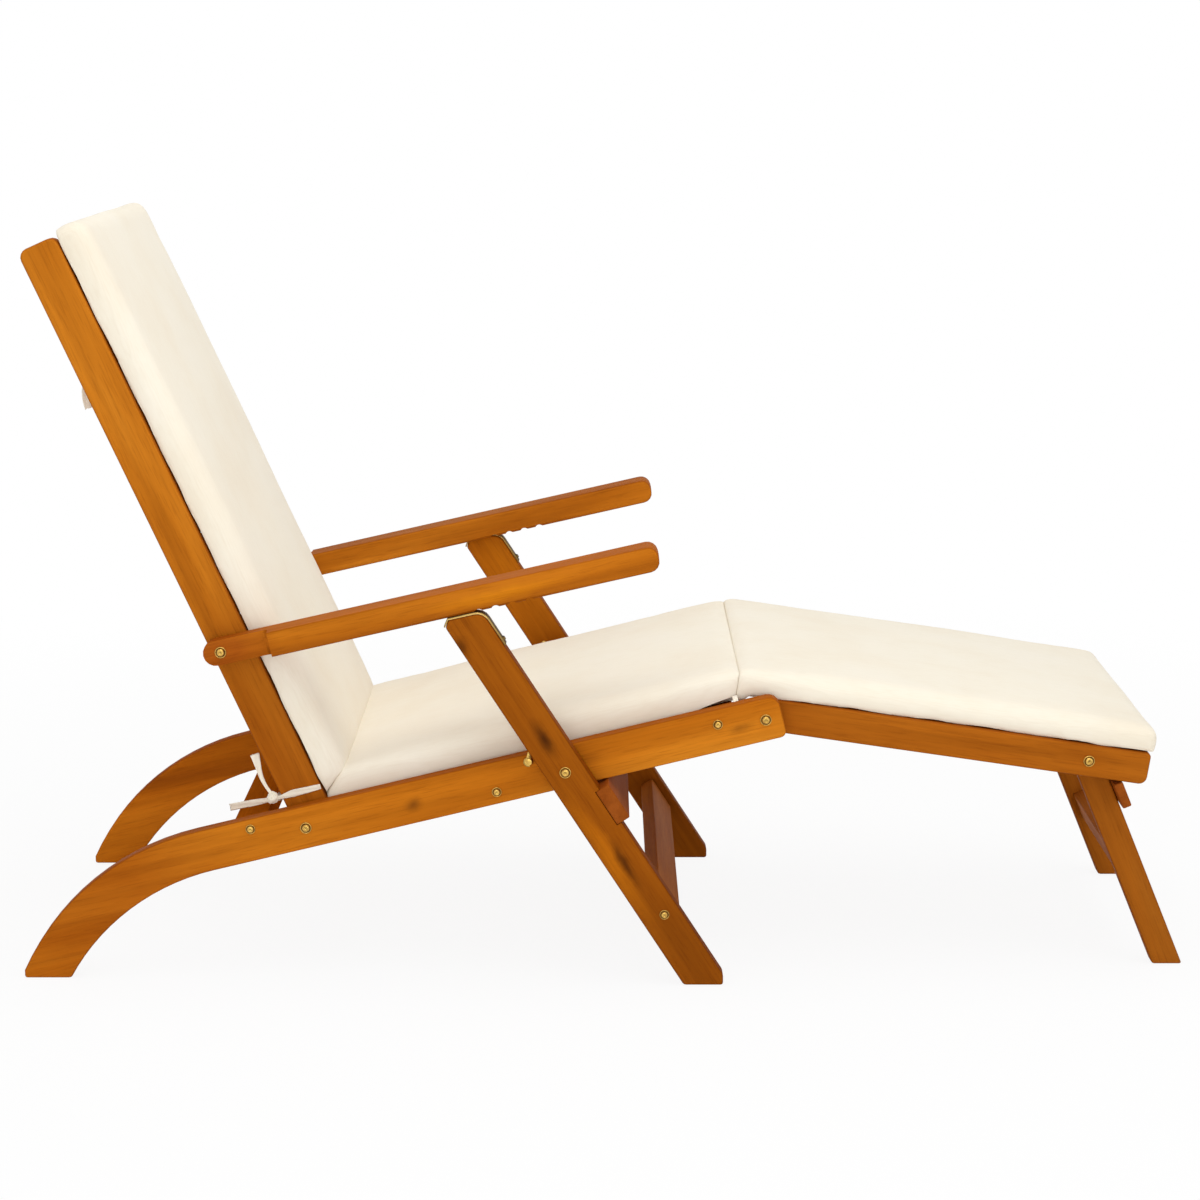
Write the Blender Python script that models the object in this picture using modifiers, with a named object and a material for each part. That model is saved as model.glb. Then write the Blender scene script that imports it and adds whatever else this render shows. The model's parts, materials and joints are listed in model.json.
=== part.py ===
# Folding sun lounger: a slatted hardwood frame with a cushion in three sections.
# Metres, +Z up, +X towards the footrest. The origin is on the ground under the middle of the length.
# Left is +Y and right is -Y, as for someone lying on it.
import math

import bmesh
import bpy
from mathutils import Matrix

# Whole frame
WIDTH_OVER_LEGS = 0.600
BOARD = 0.025           # thickness of rails, stiles and legs
FRAME_GAP = 0.0034      # washer room between neighbouring frames
FIT = 0.0003            # clearance between pieces that touch
WOOD_EDGE = 0.003       # rounding of the frame boards
SLAT_EDGE = 0.002
HOUSING = 0.008         # how deep a slat end sits in its board
ARC_STEPS = 4           # segments of a rounded corner

# Seat rails with their curved rear legs
BACK_PIVOT_HEIGHT = 0.2012
RAIL_SLOPE = 13.6
RAIL_DEPTH = 0.055
LEG_PIVOT_ALONG = 0.3416        # from the back pivot, along the rail
FOOTREST_PIVOT_ALONG = 0.6033
RAIL_NOSE = 0.0217              # rail ahead of the footrest pivot
RAIL_NOSE_TOP_ROUND = 0.015
RAIL_NOSE_LOW_ROUND = 0.008
REAR_OUTER_RADIUS = 0.336
REAR_INNER_RADIUS = 0.294
REAR_OUTER_START = 0.139        # behind the back pivot
REAR_INNER_START = 0.129
REAR_TOE_HEIGHT = 0.010
REAR_ARC_STEPS = 14

# Crossbars of the seat, flat between the rails
CROSSBAR_WIDTH = 0.045
CROSSBAR_THICKNESS = 0.020
REAR_BAR_ALONG = -0.0693
REAR_BAR_ABOVE = 0.0150
MIDDLE_BAR_ALONG = 0.2486
MIDDLE_BAR_ABOVE = -0.0113
FRONT_BAR_ALONG = 0.5427
FRONT_BAR_ABOVE = 0.0084

# Slats
SLAT_WIDTH = 0.050
SLAT_THICKNESS = 0.012
SEAT_SLATS = 4
FIRST_SEAT_SLAT = 0.162         # from the back pivot, clear of the folded backrest
SEAT_SLAT_GAP = 0.0032          # between the last slat and the front crossbar

# Backrest
BACK_ANGLE = 114.2
STILE_AHEAD = 0.035     # front edge of a stile, from the pivot line
STILE_BEHIND = 0.017
STILE_LENGTH = 0.807
STILE_TAIL = 0.028
STILE_TOP_ROUND = 0.012
STILE_TAIL_ROUND = 0.014
ARM_PIVOT_ALONG = 0.2515
BACK_SLATS = 5
BACK_LOW_RAIL_ALONG = 0.075
BACK_TOP_RAIL_INSET = 0.042     # middle of the top rail, from the tops of the stiles
BACK_RAIL_THICKNESS = 0.020
BACK_TOP_RAIL_WIDTH = 0.060

# Armrests
ARM_SLOPE = 12.8
ARM_WIDTH = 0.050
ARM_HALF_DEPTH = 0.016
ARM_REACH = 0.5665      # armrest pivot to tip
ARM_TIP_ROUND = 0.0135
ARM_HEEL = 0.0225
ARM_SHOULDER = 0.066    # where the full width starts
ARM_SHOULDER_ROUND = 0.010
ARM_NOTCHES = 4
ARM_NOTCH_PITCH = 0.022
ARM_NOTCH_RADIUS = 0.006
ARM_NOTCH_DEPTH = 0.003

# Front legs
LEG_SLOPE = 57.26
LEG_WIDTH = 0.050
LEG_TOE_HEIGHT = 0.014
LEG_HEAD_REACH = 0.2375         # leg pivot to the middle of the head
LEG_HEAD_CHAMFER = 0.009
LEG_HEAD_ROUND = 0.016
LEG_BAR_ALONG = 0.2254
LEG_BAR_AHEAD = 0.005
LEG_BAR_HEIGHT = 0.052
STOP_BOARD_HEIGHT = 0.051
STOP_BOARD_THICKNESS = 0.0195
STOP_BOARD_LET_IN = 0.007
STRAP_THICKNESS = 0.0018
STRAP_WIDTH = 0.021
STRAP_DROP = 0.050              # down the front of the head

# Footrest
FOOTREST_SLOPE = 8.35
FOOTREST_DEPTH = 0.042
FOOTREST_LENGTH = 0.4995        # footrest pivot to the front end
FOOT_PIVOT_INSET = 0.0782        # from the front end back to the pivot of the footrest's legs
FOOTREST_TOP_ROUND = 0.006
FOOTREST_LOW_ROUND = 0.010
FOOTREST_SLATS = 3
FOOTREST_SLAT_START = 0.096
FOOTREST_SLAT_INSET = 0.081      # last inner slat, behind the pivot of the footrest's legs
END_SLAT_INSET = 0.0275         # middle of the end slat, from the front end

# Footrest legs
FOOT_SLOPE = 67.5
FOOT_WIDTH = 0.036
FOOT_BAR_ALONG = 0.190
FOOT_BAR_HEIGHT = 0.040
FOOT_BAR_THICKNESS = 0.018
FOOT_STOP_HEIGHT = 0.034
FOOT_STOP_THICKNESS = 0.012

# Brass fastenings
PIVOT_RADIUS = 0.004
ROD_RADIUS = 0.003
PIVOT_HEAD_RADIUS = 0.0073
ROD_HEAD_RADIUS = 0.0063
HEAD_RIM = 0.0012
HEAD_RISE = 0.0040
HEAD_CAP_SHARE = 0.78
SOCKET_RADIUS = 0.0020
SOCKET_DEPTH = 0.0018
WASHER_RADIUS = 0.0085
NUT_RADIUS = 0.0065
NUT_LENGTH = 0.006
BUSH_WALL = 0.002
TURN_STEPS = 16

# Catch hooks between the front legs and the rails
STUD_ALONG = 0.2973
STUD_ABOVE = 0.0180
STUD_NECK = 0.0020
STUD_HEAD = 0.0045
STUD_HEAD_THICKNESS = 0.0012
STUD_DEPTH = 0.014
HOOK_THICKNESS = 0.0016
HOOK_PIVOT_UP = 0.058
HOOK_PIVOT_BEHIND = 0.008
HOOK_ARM_WIDTH = 0.007
HOOK_EYE_RADIUS = 0.0062
HOOK_SLACK = 0.0004
HOOK_PIN_DEPTH = 0.010
HOOK_MOUTH_TURN = 57            # degrees from the shank's line to the eye's mouth, towards the front

# Cushion
CUSHION_INSET = 0.0041          # from the inner face of the seat rails to the cushion's side
BACK_CUSHION_OVERHANG = 0.005   # past the tops of the stiles
BACK_CUSHION_EDGE = 0.034
BACK_CUSHION_CROWN = 0.013
SEAT_CUSHION_EDGE = 0.0445
SEAT_CUSHION_CROWN = 0.009
SEAT_CUSHION_RISE = 0.006       # the seat section thickens towards the front
LEG_CUSHION_START = -0.0395
LEG_CUSHION_OVERHANG = 0.006    # past the front end of the footrest
LEG_CUSHION_EDGE = 0.0300
LEG_CUSHION_CROWN = 0.011
CUSHION_CREASE = 0.031          # along the rail, where back and seat sections meet
CUSHION_CREASE_ABOVE = 0.030
CUSHION_SIDE_LIFT = 0.012
CUSHION_DRAW_IN = 0.006
CUSHION_SIDE_BULGE = 0.003
CUSHION_CLEARANCE = 0.0015

# Fabric ties that hold the cushion to the stiles
TIE_WIDTH = 0.007
TIE_THICKNESS = 0.0012
TIE_ALONG = 0.044               # from the back pivot, up the stile
TIE_KNOT = 0.012
TIE_TAIL_OUT = ((0.044, 0.020), (0.047, 0.036), (0.053, 0.060), (0.059, 0.087))
TIE_TAIL_UP = ((0.045, 0.022), (0.062, 0.031), (0.085, 0.033), (0.110, 0.027))

# Colours as linear values
WOOD_COLOUR = (0.46, 0.145, 0.02)
SHADED_WOOD_COLOUR = (0.36, 0.11, 0.03)
BRASS_COLOUR = (0.62, 0.42, 0.15)
NYLON_COLOUR = (0.75, 0.72, 0.66)
FABRIC_COLOUR = (0.88, 0.82, 0.69)

# Planes across the width, all measured from the middle
LEG_OUT = WIDTH_OVER_LEGS / 2
LEG_IN = LEG_OUT - BOARD
RAIL_OUT = LEG_IN - FRAME_GAP
RAIL_IN = RAIL_OUT - BOARD
INNER_OUT = RAIL_IN - FRAME_GAP     # stiles and footrest rails
INNER_IN = INNER_OUT - BOARD
FOOT_OUT = INNER_IN - FRAME_GAP
FOOT_IN = FOOT_OUT - BOARD
SIDES = (("left", 1), ("right", -1))

# Places along the members that follow from their lengths
BACK_TOP_RAIL_ALONG = STILE_LENGTH - BACK_TOP_RAIL_INSET
FOOT_PIVOT_ALONG = FOOTREST_LENGTH - FOOT_PIVOT_INSET
FOOTREST_SLAT_END = FOOT_PIVOT_ALONG - FOOTREST_SLAT_INSET
FOOTREST_END_SLAT = FOOTREST_LENGTH - END_SLAT_INSET
CUSHION_HALF_WIDTH = RAIL_IN - CUSHION_INSET
BACK_CUSHION_TOP = STILE_LENGTH + BACK_CUSHION_OVERHANG
LEG_CUSHION_END = FOOTREST_LENGTH + LEG_CUSHION_OVERHANG


class Frame:
    """A place in the side view: an origin on a joint's axis and the slope of the local X direction."""

    def __init__(self, x, z, slope):
        self.x = x
        self.z = z
        self.slope = math.radians(slope)
        self.empty = None

    def point(self, along, above):
        """The side-view position of a local point."""
        c, s = math.cos(self.slope), math.sin(self.slope)
        return self.x + along * c - above * s, self.z + along * s + above * c

    def local(self, x, z):
        """The local coordinates of a side-view position."""
        c, s = math.cos(self.slope), math.sin(self.slope)
        dx, dz = x - self.x, z - self.z
        return dx * c + dz * s, dz * c - dx * s

    def make_empty(self, name, collection):
        self.empty = bpy.data.objects.new(name, None)
        self.empty.empty_display_size = 0.05
        self.empty.location = (self.x, 0, self.z)
        self.empty.rotation_euler = (0, -self.slope, 0)
        collection.objects.link(self.empty)


def clear_scene():
    for obj in list(bpy.data.objects):
        bpy.data.objects.remove(obj, do_unlink=True)


def new_collection(name):
    collection = bpy.data.collections.new(name)
    bpy.context.scene.collection.children.link(collection)
    return collection


def material(name, colour, roughness, metallic=0.0):
    made = bpy.data.materials.new(name)
    made.use_nodes = True
    shader = made.node_tree.nodes["Principled BSDF"]
    shader.inputs["Base Color"].default_value = (*colour, 1)
    shader.inputs["Roughness"].default_value = roughness
    shader.inputs["Metallic"].default_value = metallic
    made.diffuse_color = (*colour, 1)
    return made


clear_scene()
LOUNGER = new_collection("sun_lounger")
CUTTERS = new_collection("cutters")
WOOD = material("acacia", WOOD_COLOUR, 0.45)
SHADED_WOOD = material("acacia_dark", SHADED_WOOD_COLOUR, 0.5)
BRASS = material("brass", BRASS_COLOUR, 0.25, 1.0)
NYLON = material("nylon", NYLON_COLOUR, 0.6)
FABRIC = material("cream_fabric", FABRIC_COLOUR, 0.9)


def add_object(name, mesh, frame, finish=None):
    """Put a mesh given in a frame's coordinates under that frame's empty; no finish makes it a cutter."""
    obj = bpy.data.objects.new(name, mesh)
    obj.parent = frame.empty
    if finish is None:
        obj.hide_render = True
        obj.display_type = "WIRE"
        CUTTERS.objects.link(obj)
    else:
        mesh.materials.append(finish)
        LOUNGER.objects.link(obj)
    return obj


def mesh_from(bm, name):
    bmesh.ops.recalc_face_normals(bm, faces=bm.faces)
    mesh = bpy.data.meshes.new(name)
    bm.to_mesh(mesh)
    bm.free()
    return mesh


def soften(obj, width, segments=2):
    """Round the sharp edges of a board."""
    bevel = obj.modifiers.new("edges", "BEVEL")
    bevel.width = width
    bevel.segments = segments
    bevel.limit_method = "ANGLE"
    bevel.angle_limit = math.radians(32)
    return obj


def block(name, frame, along, across, above, finish=None, edge=0.0):
    """A box between low and high values along, across and above in a frame."""
    bm = bmesh.new()
    bmesh.ops.create_cube(bm, size=1)
    low = (along[0], across[0], above[0])
    high = (along[1], across[1], above[1])
    bmesh.ops.scale(bm, vec=[h - l for l, h in zip(low, high)], verts=bm.verts)
    bmesh.ops.translate(bm, vec=[(h + l) / 2 for l, h in zip(low, high)], verts=bm.verts)
    obj = add_object(name, mesh_from(bm, name), frame, finish)
    return soften(obj, edge) if edge else obj


def profile_board(name, frame, outline, across, finish=None, edge=0.0):
    """A flat board: a side-view outline in a frame's coordinates, thick between two planes across."""
    curve = bpy.data.curves.new(name, "CURVE")
    curve.dimensions = "2D"
    curve.fill_mode = "BOTH"
    curve.extrude = (across[1] - across[0]) / 2
    spline = curve.splines.new("POLY")
    spline.points.add(len(outline) - 1)
    for point, (along, above) in zip(spline.points, outline):
        point.co = (along, above, 0, 1)
    spline.use_cyclic_u = True
    holder = bpy.data.objects.new(name + "_outline", curve)
    CUTTERS.objects.link(holder)
    bpy.context.view_layer.update()
    mesh = bpy.data.meshes.new_from_object(holder.evaluated_get(bpy.context.evaluated_depsgraph_get()))
    bpy.data.objects.remove(holder)
    bm = bmesh.new()
    bm.from_mesh(mesh)
    bmesh.ops.remove_doubles(bm, verts=bm.verts, dist=0.00002)
    bmesh.ops.dissolve_limit(bm, angle_limit=0.001, verts=bm.verts, edges=bm.edges)
    upright = Matrix.Translation((0, (across[0] + across[1]) / 2, 0)) @ Matrix.Rotation(math.pi / 2, 4, "X")
    bmesh.ops.transform(bm, matrix=upright, verts=bm.verts)
    obj = add_object(name, mesh_from(bm, name), frame, finish)
    return soften(obj, edge) if edge else obj


def crosswise_cylinder(name, frame, along, above, radius, across, steps=TURN_STEPS):
    """A cutter along the width, for bolt holes and round notches."""
    bm = bmesh.new()
    bmesh.ops.create_cone(bm, cap_ends=True, segments=steps, radius1=radius, radius2=radius,
                          depth=across[1] - across[0])
    place = Matrix.Translation((along, (across[0] + across[1]) / 2, above))
    bmesh.ops.transform(bm, matrix=place @ Matrix.Rotation(math.pi / 2, 4, "X"), verts=bm.verts)
    return add_object(name, mesh_from(bm, name), frame)


def combine(obj, tool, operation="DIFFERENCE"):
    change = obj.modifiers.new(tool.name, "BOOLEAN")
    change.operation = operation
    change.solver = "EXACT"
    change.object = tool


def hole(obj, frame, along, above, radius, across):
    """Bore a crosswise hole with its clearance through one board."""
    reach = (across[0] - BOARD / 2, across[1] + BOARD / 2)
    combine(obj, crosswise_cylinder(obj.name + "_hole", frame, along, above, radius + FIT, reach))


def turned(name, frame, along, above, profile, side, finish):
    """A piece turned about a crosswise axis. The profile lists (radius, distance from the middle)."""
    bm = bmesh.new()
    corners = [bm.verts.new((radius, 0, out)) for radius, out in profile]
    for first, second in zip(corners, corners[1:]):
        bm.edges.new((first, second))
    mesh = bpy.data.meshes.new(name)
    bm.to_mesh(mesh)
    bm.free()
    obj = add_object(name, mesh, frame, finish)
    obj.location = (along, 0, above)
    obj.rotation_euler = (-side * math.pi / 2, 0, 0)
    screw = obj.modifiers.new("turn", "SCREW")
    screw.steps = TURN_STEPS
    screw.render_steps = TURN_STEPS
    screw.use_merge_vertices = True
    screw.merge_threshold = 0.00005
    return obj


def mirrored_span(side, inner, outer):
    """The low and high planes of a board on one side."""
    return tuple(sorted((side * inner, side * outer)))


def fillet(corners):
    """Round the corners of a closed outline. Each corner is (along, above, radius)."""
    points = []
    count = len(corners)
    for index, (x, z, radius) in enumerate(corners):
        if radius <= 0:
            points.append((x, z))
            continue
        before = corners[index - 1]
        after = corners[(index + 1) % count]
        in_angle = math.atan2(before[1] - z, before[0] - x)
        out_angle = math.atan2(after[1] - z, after[0] - x)
        opening = (out_angle - in_angle + math.pi) % (2 * math.pi) - math.pi
        half = abs(opening) / 2
        middle = in_angle + opening / 2
        reach = radius / math.sin(half)
        centre = (x + reach * math.cos(middle), z + reach * math.sin(middle))
        sweep = (math.pi - 2 * half) * (1 if opening > 0 else -1)
        start = in_angle - math.copysign(math.pi / 2, opening)
        for step in range(ARC_STEPS + 1):
            turn = start - sweep * step / ARC_STEPS
            points.append((centre[0] + radius * math.cos(turn), centre[1] + radius * math.sin(turn)))
    return points


def arc(centre, radius, start, end, steps):
    """Points on an arc between two angles in radians, both ends included."""
    angles = [start + (end - start) * step / steps for step in range(steps + 1)]
    return [(centre[0] + radius * math.cos(a), centre[1] + radius * math.sin(a)) for a in angles]


def head_profile(face, radius, rod):
    """The outer end of a bolt: socket, domed cap and rim, standing on the plane called face."""
    base = face + FIT
    cap = radius * HEAD_CAP_SHARE
    return [
        (0, base + HEAD_RISE - SOCKET_DEPTH),
        (SOCKET_RADIUS, base + HEAD_RISE - SOCKET_DEPTH),
        (SOCKET_RADIUS, base + HEAD_RISE),
        (cap * 0.62, base + HEAD_RISE * 0.93),
        (cap * 0.90, base + HEAD_RISE * 0.66),
        (cap, base + HEAD_RIM),
        (radius, base + HEAD_RIM * 0.8),
        (radius, base),
        (rod, base),
    ]


def collar_profile(outer, inner, rod):
    """A washer on the rod, filling the gap between two boards."""
    return [
        (rod, outer - FIT),
        (WASHER_RADIUS, outer - FIT),
        (WASHER_RADIUS, inner + FIT),
        (rod, inner + FIT),
    ]


def pivot_bolt(name, frame, along, above, side, planes, finish=BRASS):
    """A bolt through two boards: planes are the outer board's faces, then the inner board's faces."""
    outer_face, gap_out, gap_in, inner_face = planes
    profile = head_profile(outer_face, PIVOT_HEAD_RADIUS, PIVOT_RADIUS)
    profile += collar_profile(gap_out, gap_in, PIVOT_RADIUS)
    nut = inner_face - FIT
    profile += [(PIVOT_RADIUS, nut), (NUT_RADIUS, nut), (NUT_RADIUS, nut - NUT_LENGTH * 0.7),
                (NUT_RADIUS * 0.6, nut - NUT_LENGTH), (0, nut - NUT_LENGTH)]
    return turned(name, frame, along, above, profile, side, finish)


def through_rod(name, frame, along, above, face, radius, head_radius, collars=()):
    """A rod across the whole width with a domed nut on each end."""
    half = head_profile(face, head_radius, radius)
    for outer, inner in collars:
        half += collar_profile(outer, inner, radius)
    other_half = [(r, -y) for r, y in reversed(half)]
    return turned(name, frame, along, above, half + other_half, 1, BRASS)


# Places in the side view, all worked out from the back pivot
def rear_arc_centres():
    """Centres of the curved leg's outer and inner arcs, in the rail's coordinates."""
    outer = (-REAR_OUTER_START, RAIL_DEPTH / 2 - REAR_OUTER_RADIUS)
    inner = (-REAR_INNER_START, -RAIL_DEPTH / 2 - REAR_INNER_RADIUS)
    return outer, inner


def height_on_arc(frame, centre, radius, height):
    """The side-view X where an arc of the rear leg crosses a height."""
    x, z = frame.point(*centre)
    return x - math.sqrt(radius ** 2 - (height - z) ** 2)


def lay_out():
    """Make the frames with the back pivot at X 0, then move all of them so that X 0 is mid-length."""
    seat = Frame(0, BACK_PIVOT_HEIGHT, RAIL_SLOPE)
    back = Frame(0, BACK_PIVOT_HEIGHT, BACK_ANGLE)
    arm = Frame(*back.point(ARM_PIVOT_ALONG, 0), ARM_SLOPE)
    legs = Frame(*seat.point(LEG_PIVOT_ALONG, 0), -LEG_SLOPE)
    footrest = Frame(*seat.point(FOOTREST_PIVOT_ALONG, 0), -FOOTREST_SLOPE)
    feet = Frame(*footrest.point(FOOT_PIVOT_ALONG, 0), -FOOT_SLOPE)
    outer_centre = rear_arc_centres()[0]
    rear = height_on_arc(seat, outer_centre, REAR_OUTER_RADIUS, REAR_TOE_HEIGHT)
    front = feet.x + (feet.z + FOOT_WIDTH / 2 * math.cos(-feet.slope)) / math.tan(-feet.slope)
    front += FOOT_WIDTH / 2 * math.sin(-feet.slope)
    middle = (rear + front) / 2
    for frame in (seat, back, arm, legs, footrest, feet):
        frame.x -= middle
    return seat, back, arm, legs, footrest, feet


SEAT, BACK, ARM, LEGS, FOOTREST, FEET = lay_out()


def make_axes():
    names = ("seat_axis", "back_axis", "armrest_axis", "front_leg_axis", "footrest_axis", "footrest_leg_axis")
    for frame, name in zip((SEAT, BACK, ARM, LEGS, FOOTREST, FEET), names):
        frame.make_empty(name, LOUNGER)


def on_ground(frame, above, height=0.0):
    """Local point of a sloping leg where the line at this offset reaches a height."""
    c, s = math.cos(frame.slope), math.sin(frame.slope)
    along = (height - frame.z - above * c) / s
    return along, above


# Seat frame
def rail_outline():
    """One rail: nose at the footrest pivot, straight run, then the curved leg down to its foot."""
    half = RAIL_DEPTH / 2
    nose = FOOTREST_PIVOT_ALONG + RAIL_NOSE
    outer_centre, inner_centre = rear_arc_centres()
    outer_world = SEAT.point(*outer_centre)
    inner_world = SEAT.point(*inner_centre)
    slope = SEAT.slope
    outer_end = math.asin((REAR_TOE_HEIGHT - outer_world[1]) / REAR_OUTER_RADIUS)
    inner_end = math.asin((0 - inner_world[1]) / REAR_INNER_RADIUS)
    outer_arc = arc(outer_centre, REAR_OUTER_RADIUS, math.pi / 2, math.pi - outer_end - slope, REAR_ARC_STEPS)
    inner_arc = arc(inner_centre, REAR_INNER_RADIUS, math.pi - inner_end - slope, math.pi / 2, REAR_ARC_STEPS)
    toe_x = SEAT.point(*outer_arc[-1])[0]
    toe = SEAT.local(toe_x, 0)
    front = fillet([(0, -half, 0), (nose, -half, RAIL_NOSE_LOW_ROUND), (nose, half, RAIL_NOSE_TOP_ROUND),
                    (0, half, 0)])
    return front[1:-1] + outer_arc + [toe] + inner_arc


def seat_slat_places():
    """Slat centres along the rail, clear of the nuts of the leg pivots."""
    last = FRONT_BAR_ALONG - CROSSBAR_WIDTH / 2 - SEAT_SLAT_GAP - SLAT_WIDTH / 2
    step = (last - FIRST_SEAT_SLAT) / (SEAT_SLATS - 1)
    return [FIRST_SEAT_SLAT + step * index for index in range(SEAT_SLATS)]


SLAT_UNDERSIDE = MIDDLE_BAR_ABOVE + CROSSBAR_THICKNESS / 2 + FIT    # slats rest on the middle crossbar
SEAT_TOP = SLAT_UNDERSIDE + SLAT_THICKNESS


def make_seat_rails():
    for label, side in SIDES:
        across = mirrored_span(side, RAIL_IN, RAIL_OUT)
        rail = profile_board("seat_rail_" + label, SEAT, rail_outline(), across, WOOD, WOOD_EDGE)
        for along, above in crossbar_places():
            hole(rail, SEAT, along, above, ROD_RADIUS, across)
        for along in (0, LEG_PIVOT_ALONG, FOOTREST_PIVOT_ALONG):
            hole(rail, SEAT, along, 0, PIVOT_RADIUS, across)
        for index, along in enumerate(seat_slat_places()):
            pocket = housing_box(f"{rail.name}_pocket_{index}", SEAT, along, SLAT_WIDTH,
                                 (SLAT_UNDERSIDE, SEAT_TOP), side, RAIL_IN)
            combine(rail, pocket)
        stud_hole = mirrored_span(side, RAIL_OUT - STUD_DEPTH - FIT, RAIL_OUT + BOARD / 2)
        combine(rail, crosswise_cylinder(rail.name + "_stud_hole", SEAT, STUD_ALONG, STUD_ABOVE,
                                         STUD_NECK + FIT, stud_hole))


def crossbar_places():
    return ((REAR_BAR_ALONG, REAR_BAR_ABOVE), (MIDDLE_BAR_ALONG, MIDDLE_BAR_ABOVE),
            (FRONT_BAR_ALONG, FRONT_BAR_ABOVE))


def housing_box(name, frame, along, width, above, side, face):
    """The pocket in a board's inner face that takes a slat's end, with its clearance."""
    across = mirrored_span(side, face - BOARD / 2, face + HOUSING)
    return block(name, frame, (along - width / 2 - FIT, along + width / 2 + FIT), across,
                 (above[0] - FIT, above[1] + FIT))


def housed_slat(name, frame, along, width, above, face, finish):
    """A slat whose two ends sit in pockets of the boards on either side."""
    reach = face + HOUSING - FIT
    span = (along - width / 2, along + width / 2)
    return block(name, frame, span, (-reach, reach), above, finish, SLAT_EDGE)


def make_seat_crossbars():
    labels = ("rear", "middle", "front")
    reach = RAIL_IN - FIT
    for label, (along, above) in zip(labels, crossbar_places()):
        span = (along - CROSSBAR_WIDTH / 2, along + CROSSBAR_WIDTH / 2)
        depth = (above - CROSSBAR_THICKNESS / 2, above + CROSSBAR_THICKNESS / 2)
        bar = block(label + "_crossbar", SEAT, span, (-reach, reach), depth, SHADED_WOOD, SLAT_EDGE)
        hole(bar, SEAT, along, above, ROD_RADIUS, (-reach, reach))
        through_rod(label + "_tie_rod", SEAT, along, above, RAIL_OUT, ROD_RADIUS, ROD_HEAD_RADIUS)


def make_seat_slats():
    for number, along in enumerate(seat_slat_places(), 1):
        housed_slat(f"seat_slat_{number}", SEAT, along, SLAT_WIDTH, (SLAT_UNDERSIDE, SEAT_TOP), RAIL_IN, WOOD)


# Backrest
def make_stiles():
    outline = fillet([(-STILE_TAIL, STILE_BEHIND, STILE_TAIL_ROUND),
                      (-STILE_TAIL, -STILE_AHEAD, STILE_TAIL_ROUND),
                      (STILE_LENGTH, -STILE_AHEAD, STILE_TOP_ROUND),
                      (STILE_LENGTH, STILE_BEHIND, STILE_TOP_ROUND)])
    for label, side in SIDES:
        across = mirrored_span(side, INNER_IN, INNER_OUT)
        stile = profile_board("back_stile_" + label, BACK, outline, across, WOOD, WOOD_EDGE)
        for along in (0, ARM_PIVOT_ALONG):
            hole(stile, BACK, along, 0, PIVOT_RADIUS, across)
        for name, along, width, above in back_boards():
            open_pocket = (above[0] - BOARD, above[1])
            pocket = housing_box(f"{stile.name}_{name}", BACK, along, width, open_pocket, side, INNER_IN)
            combine(stile, pocket)


def back_boards():
    """Every crosswise board of the backrest: name, place along the stiles, width and depth span."""
    front = -STILE_AHEAD + FIT
    thick = (front, front + BACK_RAIL_THICKNESS)
    thin = (front, front + SLAT_THICKNESS)
    boards = [("back_bottom_rail", BACK_LOW_RAIL_ALONG, SLAT_WIDTH, thick)]
    step = (BACK_TOP_RAIL_ALONG - BACK_LOW_RAIL_ALONG) / (BACK_SLATS + 1)
    for number in range(1, BACK_SLATS + 1):
        boards.append((f"back_slat_{number}", BACK_LOW_RAIL_ALONG + step * number, SLAT_WIDTH, thin))
    boards.append(("back_top_rail", BACK_TOP_RAIL_ALONG, BACK_TOP_RAIL_WIDTH, thick))
    return boards


def make_back_boards():
    for name, along, width, above in back_boards():
        housed_slat(name, BACK, along, width, above, INNER_IN, WOOD)


def make_back_pivot():
    through_rod("back_pivot_rod", BACK, 0, 0, RAIL_OUT, PIVOT_RADIUS, PIVOT_HEAD_RADIUS,
                collars=((RAIL_IN, INNER_OUT),))


# Armrests
def make_armrests():
    half = ARM_HALF_DEPTH
    outline = fillet([(-ARM_HEEL, -half, half * 0.98), (ARM_REACH, -half, ARM_TIP_ROUND),
                      (ARM_REACH, half, ARM_TIP_ROUND), (-ARM_HEEL, half, half * 0.98)])
    cheek = RAIL_IN + BOARD
    first_notch = strap_top_in_arm()[0] + ARM_NOTCH_PITCH
    for label, side in SIDES:
        arm = profile_board("armrest_" + label, ARM, outline,
                            mirrored_span(side, RAIL_IN, RAIL_IN + ARM_WIDTH), WOOD, WOOD_EDGE * 1.6)
        relief = block(arm.name + "_relief", ARM, (-ARM_HEEL - BOARD, ARM_SHOULDER),
                       mirrored_span(side, cheek, cheek + ARM_WIDTH), (-ARM_WIDTH, ARM_WIDTH))
        soften(relief, ARM_SHOULDER_ROUND, 3)
        combine(arm, relief)
        bore = PIVOT_RADIUS + FIT + BUSH_WALL
        combine(arm, crosswise_cylinder(arm.name + "_bore", ARM, 0, 0, bore + FIT,
                                        mirrored_span(side, RAIL_IN - BOARD, cheek + BOARD)))
        for index in range(ARM_NOTCHES):
            centre = -half + ARM_NOTCH_DEPTH - ARM_NOTCH_RADIUS
            along = first_notch + ARM_NOTCH_PITCH * index
            reach = mirrored_span(side, RAIL_IN - BOARD, RAIL_IN + ARM_WIDTH + BOARD)
            combine(arm, crosswise_cylinder(f"{arm.name}_notch_{index}", ARM, along, centre,
                                            ARM_NOTCH_RADIUS, reach))
        pivot_bolt("armrest_bolt_" + label, ARM, 0, 0, side, (cheek, RAIL_IN, INNER_OUT, INNER_IN))
        inner = PIVOT_RADIUS + FIT
        low, high = RAIL_IN + FIT, cheek - FIT
        turned("armrest_bush_" + label, ARM, 0, 0,
               [(inner, high), (bore, high), (bore, low), (inner, low), (inner, high)], side, NYLON)


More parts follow.
